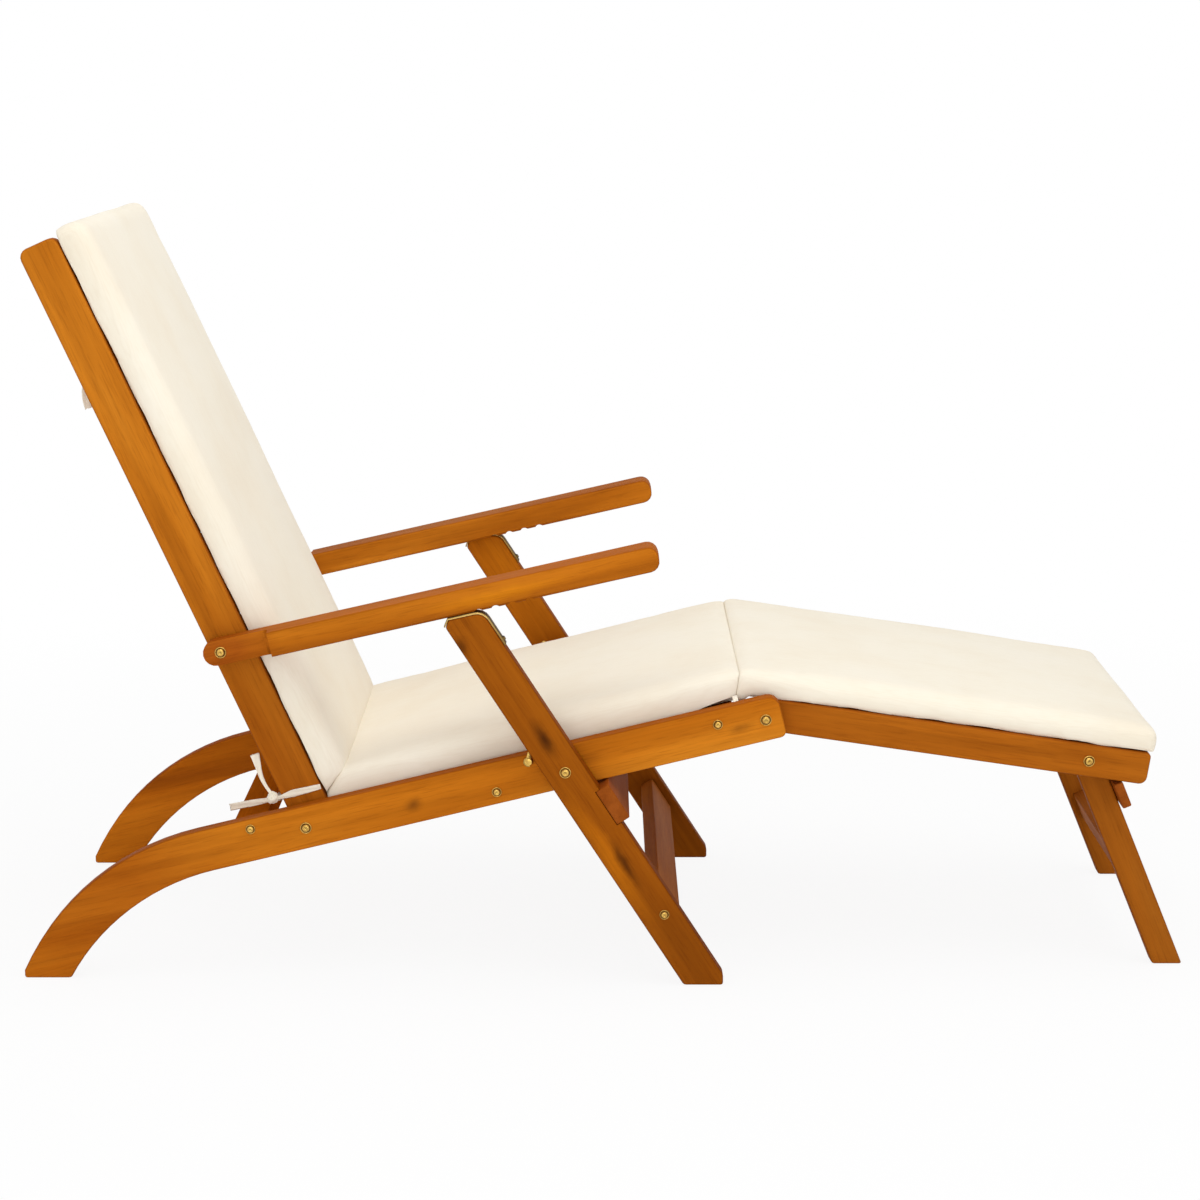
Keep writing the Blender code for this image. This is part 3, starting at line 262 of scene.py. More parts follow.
def makeAcacia(name, spec):
    look = acaciaLook
    material, nodes, links, shader = newMaterial(name)
    coordinates = nodes.new("ShaderNodeTexCoord")
    board = boardCoordinates(nodes, links, coordinates.outputs["Object"], spec.get("member"))
    uneven = wander(nodes, links, board, look["wanderScale"], look["wander"])
    seed = spec["seed"]
    grown = mapping(nodes, links, board, offset=(seed, seed * 1.3, seed * 0.7))

    figure = noiseNode(nodes, links, stretched(nodes, links, grown, look["figureStretch"]),
                       look["figureScale"], 4, 0.5, look["figureTwist"])
    tones = (look["dark"], look["mid"], look["light"], look["pale"])
    colour = ramp(nodes, links, figure, list(zip(look["figureStops"], tones)))
    streaks = noiseNode(nodes, links, stretched(nodes, links, grown, look["streakStretch"]),
                        look["streakScale"], 4, 0.6, 0.3)
    streakTone = ramp(nodes, links, streaks, look["streakTones"])
    colour = mixColour(nodes, links, look["streakShare"], colour, streakTone, "MULTIPLY")
    pores = noiseNode(nodes, links, stretched(nodes, links, grown, look["poreStretch"]), look["poreScale"], 2)
    poreTone = ramp(nodes, links, pores, look["poreTones"])
    colour = mixColour(nodes, links, look["poreShare"], colour, poreTone, "MULTIPLY")
    colour = mixColour(nodes, links, smallKnots(nodes, links, grown), colour, look["knot"])

    for centre, size, strength in spec.get("knots", ()):
        spot = spotMask(nodes, links, uneven, centre, size, look["knotFade"])
        colour = mixColour(nodes, links, maths(nodes, links, "MULTIPLY", spot, strength), colour, look["knot"])
    # long stretches of tone along a board; on the far boards and the arm's recessed rear end these are painted
    # shade and painted light
    for centre, size, tone in spec.get("areas", ()):
        spot = spotMask(nodes, links, uneven, centre, size, look["areaFade"])
        colour = mixColour(nodes, links, spot, colour, mixColour(nodes, links, 1.0, colour, tone, "MULTIPLY"))
    if "member" in spec:
        # painted shade: tops, bottoms, narrow faces and ends are darker than the wide sides, by how each face
        # turns; on the ends it is also the end grain's own darker tone
        edge = ramp(nodes, links, sideways(nodes, links, coordinates), greys(look["narrowFaceShadeFade"]))
        colour = mixColour(nodes, links, edge, colour,
                           mixColour(nodes, links, 1.0, colour, look["narrowFaceShade"], "MULTIPLY"))
    if "shade" in spec:
        colour = mixColour(nodes, links, 1.0, colour, spec["shade"], "MULTIPLY")
    links.new(colour, shader.inputs["Base Color"])
    links.new(ramp(nodes, links, figure, greys(look["roughness"])), shader.inputs["Roughness"])
    addBump(nodes, links, shader, pores, look["bump"], look["bumpHeight"])
    shader.inputs["Specular IOR Level"].default_value = spec.get("shine", look["shine"])
    return material


# one entry a kind of board. knots: place on the board (along, across, above), half sizes, strength;
# areas, which are long darker or golden stretches: place, half sizes, tone. Those across at 0.27 to 0.29 on the
# far boards, and the one on the arm's recessed rear end, are painted shade and painted light; the arm's golden
# stretch is the wood's own figure
boards = {
    "seatRail": {
        "member": "seat", "seed": 1.3,
        "knots": (((0.1412, -0.27, -0.0003), (0.017, 0.05, 0.012), 0.55),
                  ((0.5702, -0.27, -0.0028), (0.022, 0.05, 0.009), 0.38),
                  ((0.375, -0.27, 0.0054), (0.030, 0.05, 0.014), 0.22),
                  ((-0.1089, -0.27, 0.1008), (0.022, 0.05, 0.016), 0.30),
                  ((-0.2064, -0.27, 0.0634), (0.020, 0.05, 0.016), 0.30)),
        "areas": (((-0.30, -0.27, -0.03), (0.24, 0.10, 0.14), (0.72, 0.60, 0.50)),
                  # painted light and painted shade on the far rail: lighter over the rear curve, darker in the
                  # middle
                  ((-0.30, 0.27, 0.0), (0.26, 0.10, 0.16), (1.22, 1.20, 1.20)),
                  ((-0.10, 0.27, 0.0), (0.40, 0.06, 0.12), (0.86, 0.80, 0.70)))},
    "stile": {
        "member": "back", "seed": 2.9, "shade": (1.07, 1.16, 1.6),
        "areas": (((0.06, -0.23, 0.0), (0.30, 0.08, 0.08), (0.70, 0.60, 0.50)),)},
    "arm": {
        "member": "arm", "seed": 4.1, "shade": (1.06, 1.10, 1.3),
        # painted shade on the arm's recessed rear end; the golden stretch after it is the wood's own figure
        "areas": (((0.0, -0.28, 0.0), (0.085, 0.06, 0.05), (0.70, 0.55, 0.70)),
                  ((0.36, -0.29, -0.002), (0.10, 0.05, 0.012), (1.20, 1.30, 0.9)),
                  # painted shade: the far arm darker
                  ((0.28, 0.28, 0.0), (0.60, 0.06, 0.06), (0.74, 0.72, 0.80)))},
    "leg": {
        "member": "leg", "seed": 5.7, "shade": (0.63, 0.57, 0.50),
        "knots": (((-0.2037, -0.29, -0.0192), (0.017, 0.05, 0.011), 0.75),
                  ((-0.049, -0.29, -0.0002), (0.036, 0.05, 0.012), 0.90),
                  ((0.1435, -0.29, -0.0008), (0.046, 0.05, 0.010), 0.80)),
        "areas": (((0.12, -0.29, -0.014), (0.12, 0.05, 0.014), (1.4, 1.5, 1.1)),
                  # painted light: the far leg's upper part lighter
                  ((-0.22, 0.29, 0.0), (0.20, 0.06, 0.06), (1.45, 1.60, 1.40)),
                  ((0.27, 0.0, 0.0), (0.17, 0.50, 0.06), (0.60, 0.56, 0.60)))},
    "footrestRail": {"member": "footrest", "seed": 7.7, "shade": (0.80, 0.76, 0.95)},
    "footLeg": {"member": "foot", "seed": 9.2, "shade": (0.66, 0.63, 0.90)},
    "slat": {"seed": 3.3, "shade": (0.80, 0.72, 0.80)},
    "bar": {"seed": 6.1, "shade": (0.70, 0.68, 1.7)},
    "rearBar": {"seed": 6.8, "shade": (0.92, 0.80, 0.8), "shine": 0.0},
    "stop": {"seed": 8.4, "shade": (0.60, 0.50, 1.3)},
}
woods = {key: makeAcacia("acacia_" + key, spec) for key, spec in boards.items()}
# the first part of a name that fits says which board a node is
woodOf = (("seat_rail", "seatRail"), ("back_stile", "stile"), ("armrest", "arm"), ("rear_crossbar", "rearBar"),
          ("_crossbar", "bar"), ("stop", "stop"), ("front_leg", "leg"), ("footrest_rail", "footrestRail"),
          ("footrest_leg", "footLeg"), ("slat", "slat"), ("_rail", "slat"))
darkBoards = ("bar", "rearBar", "stop")

# brass and nylon
print("brass")
brassLook = {
    "colour": (0.72, 0.47, 0.12), "worn": (0.44, 0.26, 0.06), "roughness": 0.27, "patchScale": 260,
    # painted reflection: the strap's wide faces, which look along and up, are near black and not metallic,
    # standing in for the dark underside of the armrest mirrored in them; its narrow side edges are polished
    # brass
    "strap": ((0.3, (0.050, 0.026, 0.010)), (0.8, (0.60, 0.40, 0.13))), "strapReflectionMetal": ((0.3, 0.0), (0.8, 1.0)),
    # painted shade: dark tones for the hollows of the bolt heads, the socket and the recess ring
    "recess": ((0.3, (0.10, 0.055, 0.018)), (0.7, (0.20, 0.12, 0.04))), "recessScale": 500,
}
nylonLook = {"tones": ((0.3, (0.70, 0.67, 0.6)), (0.7, (0.8, 0.77, 0.7))), "scale": 400, "roughness": 0.55}


def makeBrass():
    material, nodes, links, shader = newMaterial("brassBolt")
    place = nodes.new("ShaderNodeTexCoord").outputs["Object"]
    patches = noiseNode(nodes, links, place, brassLook["patchScale"], 3, 0.6)
    tone = ramp(nodes, links, patches, [(0.35, brassLook["worn"]), (0.6, brassLook["colour"])])
    links.new(tone, shader.inputs["Base Color"])
    smooth = brassLook["roughness"]
    links.new(ramp(nodes, links, patches, greys(((0.35, smooth * 1.5), (0.65, smooth)))),
              shader.inputs["Roughness"])
    shader.inputs["Metallic"].default_value = 1.0
    return material


def makeStrapBrass():
    material, nodes, links, shader = newMaterial("brassStrap")
    side = sideways(nodes, links, nodes.new("ShaderNodeTexCoord"))
    # painted reflection: wide faces near black and not metallic, narrow side edges bright brass
    links.new(ramp(nodes, links, side, brassLook["strap"]), shader.inputs["Base Color"])
    links.new(ramp(nodes, links, side, greys(brassLook["strapReflectionMetal"])), shader.inputs["Metallic"])
    shader.inputs["Roughness"].default_value = 0.5
    shader.inputs["Specular IOR Level"].default_value = 0.1
    return material


def makeSpeckled(name, tones, scale, roughness, metallic=0.0):
    material, nodes, links, shader = newMaterial(name)
    place = nodes.new("ShaderNodeTexCoord").outputs["Object"]
    links.new(ramp(nodes, links, noiseNode(nodes, links, place, scale), tones), shader.inputs["Base Color"])
    shader.inputs["Roughness"].default_value = roughness
    shader.inputs["Metallic"].default_value = metallic
    return material


brass = makeBrass()
brassStrap = makeStrapBrass()
# a dark material that paints shade into the bolt heads' socket and recess
brassRecessShade = makeSpeckled("brassRecessShade", brassLook["recess"], brassLook["recessScale"], 0.5, 0.7)
nylon = makeSpeckled("nylonBush", nylonLook["tones"], nylonLook["scale"], nylonLook["roughness"])

# cream cotton: woven bump, faint slub and a warmer tone in patches
print("fabric")
fabricLook = {
    "tones": ((0.30, (0.895, 0.815, 0.665)), (0.52, (0.915, 0.850, 0.712)), (0.8, (0.925, 0.868, 0.745))),
    "threadTones": ((0.0, (0.955, 0.94, 0.92)), (0.6, (1.0, 1.0, 1.0))),
    "slubTones": ((0.30, (0.965, 0.95, 0.93)), (0.52, (1.0, 1.0, 1.0))),
    "patternShare": 0.6, "blotchScale": 7, "slubScale": 420, "slubStretch": 0.12, "pitch": 0.0014,
    "wavePeriod": 0.314,  # of a band pattern at scale 1
    "weave": 0.16, "weaveHeight": 0.0004, "roughness": 0.92, "sheen": 0.18, "sheenRoughness": 0.5,
}


def threads(nodes, links, vector, direction):
    wave = nodes.new("ShaderNodeTexWave")
    wave.wave_type = "BANDS"
    wave.bands_direction = direction
    wave.wave_profile = "SIN"
    wave.inputs["Scale"].default_value = fabricLook["wavePeriod"] / fabricLook["pitch"]
    wave.inputs["Distortion"].default_value = 0.6
    wave.inputs["Detail"].default_value = 1.0
    wave.inputs["Detail Scale"].default_value = 0.4
    links.new(vector, wave.inputs["Vector"])
    return wave.outputs["Fac"]


def makeFabric(name, slope):
    look = fabricLook
    material, nodes, links, shader = newMaterial(name)
    place = nodes.new("ShaderNodeTexCoord").outputs["Object"]
    laid = mapping(nodes, links, place, rotation=(0, math.radians(slope), 0))
    weave = maths(nodes, links, "MULTIPLY", threads(nodes, links, laid, "X"), threads(nodes, links, laid, "Y"))
    slub = noiseNode(nodes, links, stretched(nodes, links, laid, look["slubStretch"]), look["slubScale"], 2)
    blotch = noiseNode(nodes, links, laid, look["blotchScale"], 3, 0.55)
    tone = ramp(nodes, links, blotch, look["tones"])
    threadTone = ramp(nodes, links, weave, look["threadTones"])
    tone = mixColour(nodes, links, look["patternShare"], tone, threadTone, "MULTIPLY")
    slubTone = ramp(nodes, links, slub, look["slubTones"])
    tone = mixColour(nodes, links, look["patternShare"], tone, slubTone, "MULTIPLY")
    links.new(tone, shader.inputs["Base Color"])
    height = maths(nodes, links, "ADD", weave, maths(nodes, links, "MULTIPLY", slub, 0.5))
    addBump(nodes, links, shader, height, look["weave"], look["weaveHeight"])
    shader.inputs["Roughness"].default_value = look["roughness"]
    shader.inputs["Sheen Weight"].default_value = look["sheen"]
    shader.inputs["Sheen Roughness"].default_value = look["sheenRoughness"]
    return material


fabrics = {member: makeFabric("creamCotton_" + member, slopes[member])
           for member in ("seat", "back", "footrest")}

# ties: flat tape from the cushion's corner round each stile, knotted behind it
print("ties")
tie = {
    "width": 0.0096, "thickness": 0.0008, "pathSteps": 6, "strips": 8, "curl": 0.0003, "fray": 0.0016,
    # routes on the left stile: along, across, above
    "outer": [(0.0365, 0.2438, -0.0350), (0.0395, 0.2441, -0.0180), (0.0425, 0.2441, 0.0000),
              (0.0445, 0.2440, 0.0160), (0.0455, 0.2410, 0.0260), (0.0480, 0.2395, 0.0400),
              (0.0530, 0.2390, 0.0610), (0.0585, 0.2400, 0.0840)],
    "inner": [(0.0430, 0.2172, -0.0345), (0.0436, 0.2172, -0.0150), (0.0440, 0.2172, 0.0060),
              (0.0442, 0.2180, 0.0165), (0.0444, 0.2230, 0.0183), (0.0446, 0.2310, 0.0186),
              (0.0455, 0.2385, 0.0250), (0.0600, 0.2400, 0.0290), (0.0760, 0.2400, 0.0300),
              (0.0920, 0.2405, 0.0275), (0.1090, 0.2400, 0.0245)],
    "upper": [(0.6350, 0.2130, -0.0340), (0.6330, 0.2140, -0.0150), (0.6290, 0.2150, 0.0080),
              (0.6200, 0.2160, 0.0200), (0.6080, 0.2175, 0.0245), (0.5960, 0.2190, 0.0255)],
    # share of the way along the tape, share of its width: gathered in the knot, fanned out at the ends
    "outerWidths": ((0.0, 0.62), (0.30, 1.0), (0.44, 0.45), (0.56, 0.45), (0.80, 0.85), (1.0, 1.05)),
    "innerWidths": ((0.0, 0.8), (0.55, 0.9), (0.66, 0.4), (0.74, 0.4), (0.88, 0.75), (1.0, 1.3)),
    "upperWidths": ((0.0, 0.6), (0.7, 0.8), (1.0, 1.1)),
    # in radians, over the whole length
    "outerTwist": -0.3, "innerTwist": 0.5, "upperTwist": -0.3,
}
knotMake = {
    "place": (0.0465, 0.2400, 0.0285), "size": (0.0072, 0.0060, 0.0078), "lump": 0.14, "loose": 0.10,
    "ringSegments": 12, "turnSteps": 28, "weldWithin": 0.00002,
    # turns of tape round it: radius, width, thickness, tilts about x, y and z, shift
    "turns": ((0.0070, 0.0056, 0.0024, (0.3, 1.25, 0.0), (0.0, 0.0, 0.0)),
              (0.0064, 0.0050, 0.0026, (1.2, 0.2, 0.5), (0.0010, 0.0006, -0.0008)),
              (0.0056, 0.0044, 0.0028, (0.7, -0.8, 0.2), (-0.0016, 0.0004, 0.0014))),
}


def between(stops, share):
    for (start, first), (end, second) in zip(stops, stops[1:]):
        if share <= end:
            return first + (second - first) * (share - start) / (end - start)
    return stops[-1][1]


def smoothPath(points, steps):
    # a curve through every point
    vectors = [Vector(point) for point in points]
    path = []
    for index in range(len(vectors) - 1):
        before = vectors[max(index - 1, 0)]
        first, second = vectors[index], vectors[index + 1]
        after = vectors[min(index + 2, len(vectors) - 1)]
        for number in range(steps):
            t = number / steps
            path.append(0.5 * ((2 * first) + (second - before) * t
                               + (2 * before - 5 * first + 4 * second - after) * t * t
                               + (3 * first - before - 3 * second + after) * t ** 3))
    return path + [vectors[-1]]


def tapePiece(name, path, widths, material, twist=0.0, across=None):
    # a strip from a grid, laid along the path with its flat side to the side of the lounger
    bm = bmesh.new()
    last = len(path) - 1
    bmesh.ops.create_grid(bm, x_segments=last, y_segments=tie["strips"], size=1)
    for vert in bm.verts:
        index = min(int(round((vert.co.x + 1) / 2 * last)), last)
        share = index / last
        ahead = (path[min(index + 1, last)] - path[max(index - 1, 0)]).normalized()
        side = Vector(across) if across else ahead.cross(Vector((0, 1, 0)))
        if side.length < 0.35:
            # here the tape runs across the lounger
            side = ahead.cross(Vector((1, 0, 0)))
        side.normalize()
        side.rotate(Matrix.Rotation(twist * share, 3, ahead))
        place = vert.co.y
        curl = ahead.cross(side).normalized() * (tie["curl"] * math.cos(place * 4.2 + index * 0.4))
        fray = Vector()
        if index == last:
            fray = ahead * (tie["fray"] * noise.noise(Vector((place * 9, index, 3))))
        vert.co = path[index] + side * place * tie["width"] / 2 * between(widths, share) + curl + fray
    bmesh.ops.solidify(bm, geom=bm.faces[:], thickness=tie["thickness"])
    bmesh.ops.recalc_face_normals(bm, faces=bm.faces[:])
    return finishPiece(bm, name, material)


def tapeTurn(bm, radius, wide, thick, turn, shift):
    # one turn of tape in the knot
    made = bmesh.ops.create_circle(bm, segments=knotMake["ringSegments"], radius=1)["verts"]
    edges = list({edge for vert in made for edge in vert.link_edges})
    for vert in made:
        vert.co = Vector((radius + vert.co.x * thick / 2, 0, vert.co.y * wide / 2))
    old = set(bm.verts) - set(made)
    bmesh.ops.spin(bm, geom=made + edges, cent=(0, 0, 0), axis=(0, 0, 1), angle=math.tau,
                   steps=knotMake["turnSteps"], use_merge=True)
    bmesh.ops.remove_doubles(bm, verts=[vert for vert in bm.verts if vert not in old],
                             dist=knotMake["weldWithin"])
    for vert in bm.verts:
        if vert not in old:
            loose = 1 + knotMake["loose"] * noise.noise(vert.co * 260 + Vector(shift) * 900)
            vert.co = turn @ (vert.co * loose) + Vector(shift)


def tieKnot(name, centre, toRow):
    bm = bmesh.new()
    bmesh.ops.create_icosphere(bm, subdivisions=4, radius=1)
    for vert in bm.verts:
        lump = 1 + knotMake["lump"] * noise.noise(vert.co * 2.1)
        vert.co = Vector(tuple(vert.co[axis] * knotMake["size"][axis] * lump for axis in range(3)))
    for radius, wide, thick, angles, shift in knotMake["turns"]:
        turn = Matrix.Rotation(angles[0], 3, "X") @ Matrix.Rotation(angles[1], 3, "Y")
        tapeTurn(bm, radius, wide, thick, turn @ Matrix.Rotation(angles[2], 3, "Z"), shift)
    bmesh.ops.transform(bm, matrix=toRow @ Matrix.Translation(centre), verts=bm.verts)
    bmesh.ops.recalc_face_normals(bm, faces=bm.faces[:])
    return finishPiece(bm, name, fabrics["back"])


def onSide(point, sign):
    x, y, z = point
    return (x, sign * y, z)


for side, sign in (("left", 1), ("right", -1)):
    toRow = along("back")
    knot = tieKnot("tieKnot_" + side, onSide(knotMake["place"], sign), toRow)
    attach(knot, "backrest")
    for part in ("outer", "inner", "upper"):
        path = [toRow @ point for point in smoothPath([onSide(point, sign) for point in tie[part]],
                                                      tie["pathSteps"])]
        tape = tapePiece(f"tieTape_{part}_{side}", path, tie[part + "Widths"], fabrics["back"],
                         twist=tie[part + "Twist"])
        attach(tape, "backrest")
        if part != "upper":
            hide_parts("cushion_tie_" + side)

# cushions: blanks a little too deep, blown up by a cloth simulation, then held to the boards they lie on
print("cushions")
cushionMake = {
    "halfWidth": 0.2425, "widest": 0.2440, "drawIn": 0.005, "bulge": 0.0015, "over": 0.007, "under": 0.008,
    "cuts": ((-0.95, -0.88, -0.8, -0.72, -0.6, -0.3, 0, 0.3, 0.64, 0.78, 0.95),
             (-0.95, -0.90, -0.87, -0.80, -0.4, 0, 0.4, 0.80, 0.87, 0.90, 0.95), (-0.4, 0.4)),
    "voxel": 0.006, "rounding": 7, "softening": 6, "weldWithin": 0.0005, "sharpAngle": 55,
    "pressure": 3.4, "frames": 20, "stiffness": 18, "bending": 0.6, "mass": 0.3, "quality": 5, "shrink": -0.012,
    "cap": 0.004, "slide": 0.0008, "inward": 0.0004,
    "pucker": 0.0010, "puckerFrom": 0.200, "puckerReach": 0.042, "puckersPerMetre": 165, "hollow": 0.0016,
}
# rest is the height of the boards under each section; the top and the face are its free side
backPad = {"member": "back", "node": "back_cushion", "fill": 0.75, "rest": -0.0353, "face": -0.0705,
           "crown": 0.011, "end": 0.8145, "lean": 0.55, "middle": -0.0353 - 0.020, "depth": 0.020,
           "loose": (0.0012, 0.0026)}
seatPad = {"member": "seat", "node": "seat_cushion", "fill": 0.75, "rest": 0.0113, "barRest": 0.0187,
           "barFrom": 0.517, "top": 0.0555, "rise": 0.006, "crown": 0.009, "lean": 1.05, "middle": 0.036,
           "depth": 0.022, "tuck": 0.017, "tuckHalf": 0.242, "lift": 0.0128}
legPad = {"member": "footrest", "node": "leg_cushion", "fill": 0.75, "rest": 0.0213, "top": 0.0510,
          "crown": 0.010, "blankEnd": 0.5070, "end": 0.5085, "middle": 0.037, "depth": 0.015, "sag": 0.0100,
          "sagHalf": 0.24, "loose": (0.0002, 0.0020)}
# where two sections meet on top of the boards, along and above
crease = {"onSeat": (0.031, 0.030), "onFootrest": (-0.0395, 0.021), "gap": 0.0006, "kneeGap": 0.0005}


def onMember(member, other, point):
    # a point on one member in another member's terms
    return along(member).inverted() @ (along(other) @ Vector((point[0], 0, point[1])))


seamOnBack = onMember("back", "seat", crease["onSeat"])
seamOnSeat = onMember("seat", "footrest", crease["onFootrest"])
leanAtKnee = math.tan(math.radians(slopes["seat"] - slopes["footrest"]))


def pillow(s, t):
    # 1 in the middle, 0 at the rim
    return (1 - abs(s) ** 3) * (1 - abs(t) ** 3)


def mix(a, b, share):
    return a + (b - a) * share


def step(start, end, value):
    # 0 before start, 1 past end, smooth between
    share = min(max((value - start) / (end - start), 0), 1)
    return share * share * (3 - 2 * share)


def halfWidthAt(s, r):
    return cushionMake["halfWidth"] - cushionMake["drawIn"] * (1 - s * s) + cushionMake["bulge"] * (1 - abs(r))


def looseEdge(x, y, loose):
    # the sewn lower edge of a side hangs a little clear of the boards, in shallow waves
    low, high = loose
    wave = 0.5 + 0.5 * math.sin(x * 70 + 3 * noise.noise(Vector((x * 14, 1.7, low * 900))))
    return mix(low, high, wave) * step(0.214, 0.230, abs(y))


# each section: a shape for its blank, from a cube's corners to the member, then the least and greatest
# along and the height that its points are held to
def backLean(above):
    return backPad["lean"] * (backPad["rest"] - above)


def backShape(s, t, r):
    near, far = backPad["rest"] + cushionMake["under"], backPad["face"] - backPad["crown"] * pillow(s, t)
    above = mix(far, near, (r + 1) / 2)
    start = seamOnBack.x - cushionMake["over"] + backLean(above)
    return mix(start, backPad["end"], (s + 1) / 2), t * halfWidthAt(s, r), above


def backHold(co):
    return (seamOnBack.x + crease["gap"] + backLean(co.z), backPad["end"],
            min(co.z, backPad["rest"] - looseEdge(co.x, co.y, backPad["loose"])))


def seatLean(above):
    return seatPad["lean"] * max(above - crease["onSeat"][1], 0)


def seatTuck(y, above):
    # between the stiles the seat section is tucked in under the back section
    return seatPad["tuck"] * step(0.2145, 0.2085, abs(y)) * step(0.030, 0.024, above)


def seatRest(x, y):
    # on the slats, then on the front crossbar; towards the seam the sides lift clear of the rails
    lift = seatPad["lift"] * step(0.475, 0.568, x) * step(0.205, 0.226, abs(y))
    return seatPad["barRest" if x > seatPad["barFrom"] else "rest"] + lift


def seatShape(s, t, r):
    bottom = seatPad["rest"] - cushionMake["under"]
    top = seatPad["top"] + seatPad["rise"] * (s + 1) / 2 + seatPad["crown"] * pillow(s, t)
    above = mix(bottom, top, (r + 1) / 2)
    start = crease["onSeat"][0] + seatLean(above) - cushionMake["over"]
    start -= seatTuck(t * seatPad["tuckHalf"], above)
    end = seamOnSeat.x + cushionMake["over"] + leanAtKnee * (above - seamOnSeat.z)
    return mix(start, end, (s + 1) / 2), t * halfWidthAt(s, r), above


def seatHold(co):
    return (crease["onSeat"][0] + crease["gap"] + seatLean(co.z) - seatTuck(co.y, co.z),
            seamOnSeat.x - crease["kneeGap"] + leanAtKnee * (co.z - seamOnSeat.z),
            max(co.z, seatRest(co.x, co.y)))


def kneeSag(x, y):
    # the leg section sinks in behind its first slat, between the rails, and over the whole width at the seam
    inner = legPad["sag"] * step(0.215, 0.200, abs(y)) * step(0.066, 0.045, x)
    outer = step(-0.0205, -0.0330, x) * legPad["sag"]
    return max(inner, outer)


def legShape(s, t, r):
    start = crease["onFootrest"][0]
    sag = kneeSag(mix(start, legPad["blankEnd"], (s + 1) / 2), t * legPad["sagHalf"])
    bottom = legPad["rest"] - cushionMake["under"] - sag
    top = legPad["top"] + legPad["crown"] * pillow(s, t)
    above = mix(bottom, top, (r + 1) / 2)
    return (mix(start - cushionMake["over"], legPad["blankEnd"], (s + 1) / 2), t * halfWidthAt(s, r), above)


def legHold(co):
    return (crease["onFootrest"][0], legPad["end"],
            max(co.z, legPad["rest"] - kneeSag(co.x, co.y)
                + looseEdge(co.x, co.y, legPad["loose"]) * step(0.02, 0.06, co.x)))


def cushionBlank(name, shape):
    bm = bmesh.new()
    bmesh.ops.create_cube(bm, size=2)
    for axis, places in enumerate(cushionMake["cuts"]):
        for place in places:
            facing = Vector((axis == 0, axis == 1, axis == 2))
            geometry = bm.verts[:] + bm.edges[:] + bm.faces[:]
            bmesh.ops.bisect_plane(bm, geom=geometry, plane_co=facing * place, plane_no=facing)
    for vert in bm.verts:
        vert.co = shape(*vert.co)
    bmesh.ops.recalc_face_normals(bm, faces=bm.faces[:])
    mesh = bpy.data.meshes.new(name)
    bm.to_mesh(mesh)
    bm.free()
    blank = bpy.data.objects.new(name, mesh)
    scene.collection.objects.link(blank)
    return blank


def applyModifiers(piece):
    graph = bpy.context.evaluated_depsgraph_get()
    baked = bpy.data.meshes.new_from_object(piece.evaluated_get(graph))
    old = piece.data
    piece.modifiers.clear()
    piece.data = baked
    bpy.data.meshes.remove(old)


def smoothMesh(mesh, rounds):
    bm = bmesh.new()
    bm.from_mesh(mesh)
    for _ in range(rounds):
        bmesh.ops.smooth_vert(bm, verts=bm.verts[:], factor=0.5, use_axis_x=True, use_axis_y=True,
                              use_axis_z=True)
    bm.to_mesh(mesh)
    bm.free()


def holdBack(mesh, hold):
    # keeps the cushion off the boards and inside its seams, and welds what that presses together
    bm = bmesh.new()
    bm.from_mesh(mesh)
    widest, weld = cushionMake["widest"], cushionMake["weldWithin"]
    for vert in bm.verts:
        start, end, height = hold(vert.co)
        vert.co = Vector((min(max(vert.co.x, start), end), min(max(vert.co.y, -widest), widest), height))
    bmesh.ops.remove_doubles(bm, verts=bm.verts[:], dist=weld)
    bmesh.ops.dissolve_degenerate(bm, dist=weld / 2, edges=bm.edges[:])
    bm.to_mesh(mesh)
    bm.free()


def inflate(piece):
    # cloth with pressure and no gravity; points move out up to the cap, and hardly in or along the surface
    start = [(vert.co.copy(), vert.normal.copy()) for vert in piece.data.vertices]
    cloth = piece.modifiers.new("stuffing", "CLOTH")
    settings = cloth.settings
    settings.quality = cushionMake["quality"]
    settings.mass = cushionMake["mass"]
    settings.tension_stiffness = cushionMake["stiffness"]
    settings.compression_stiffness = cushionMake["stiffness"]
    settings.bending_stiffness = cushionMake["bending"]
    settings.use_pressure = True
    settings.uniform_pressure_force = cushionMake["pressure"]
    settings.effector_weights.gravity = 0
    settings.shrink_min = cushionMake["shrink"]
    cloth.point_cache.frame_start = 1
    cloth.point_cache.frame_end = cushionMake["frames"]
    for number in range(1, cushionMake["frames"] + 1):
        scene.frame_set(number)
    applyModifiers(piece)
    for vert, (before, normal) in zip(piece.data.vertices, start):
        move = vert.co - before
        out = move.dot(normal)
        slide = move - normal * out
        if slide.length > cushionMake["slide"]:
            slide = slide.normalized() * cushionMake["slide"]
        vert.co = before + slide + normal * min(max(out, -cushionMake["inward"]), cushionMake["cap"])
    scene.frame_set(1)


def gather(mesh, middle, depth):
    # soft hollows over the whole cushion, and small puckers where the sides are sewn to the underside
    mesh.update()
    moves = []
    for vert in mesh.vertices:
        co, normal = vert.co, vert.normal
        low = max(0.0, 1 - abs(co.z - middle) / depth)
        side = max(0.0, (abs(co.y) - cushionMake["puckerFrom"]) / cushionMake["puckerReach"])
        wave = math.sin(co.x * cushionMake["puckersPerMetre"] + 2.2 * noise.noise(co * 9))
        ripple = wave * (1 - low) * min(side, 1) ** 2
        hollow = noise.noise(Vector((co.x * 7, co.y * 7, co.z * 11))) * cushionMake["hollow"]
        moves.append(normal * (ripple * cushionMake["pucker"] + hollow))
    for vert, move in zip(mesh.vertices, moves):
        vert.co += move


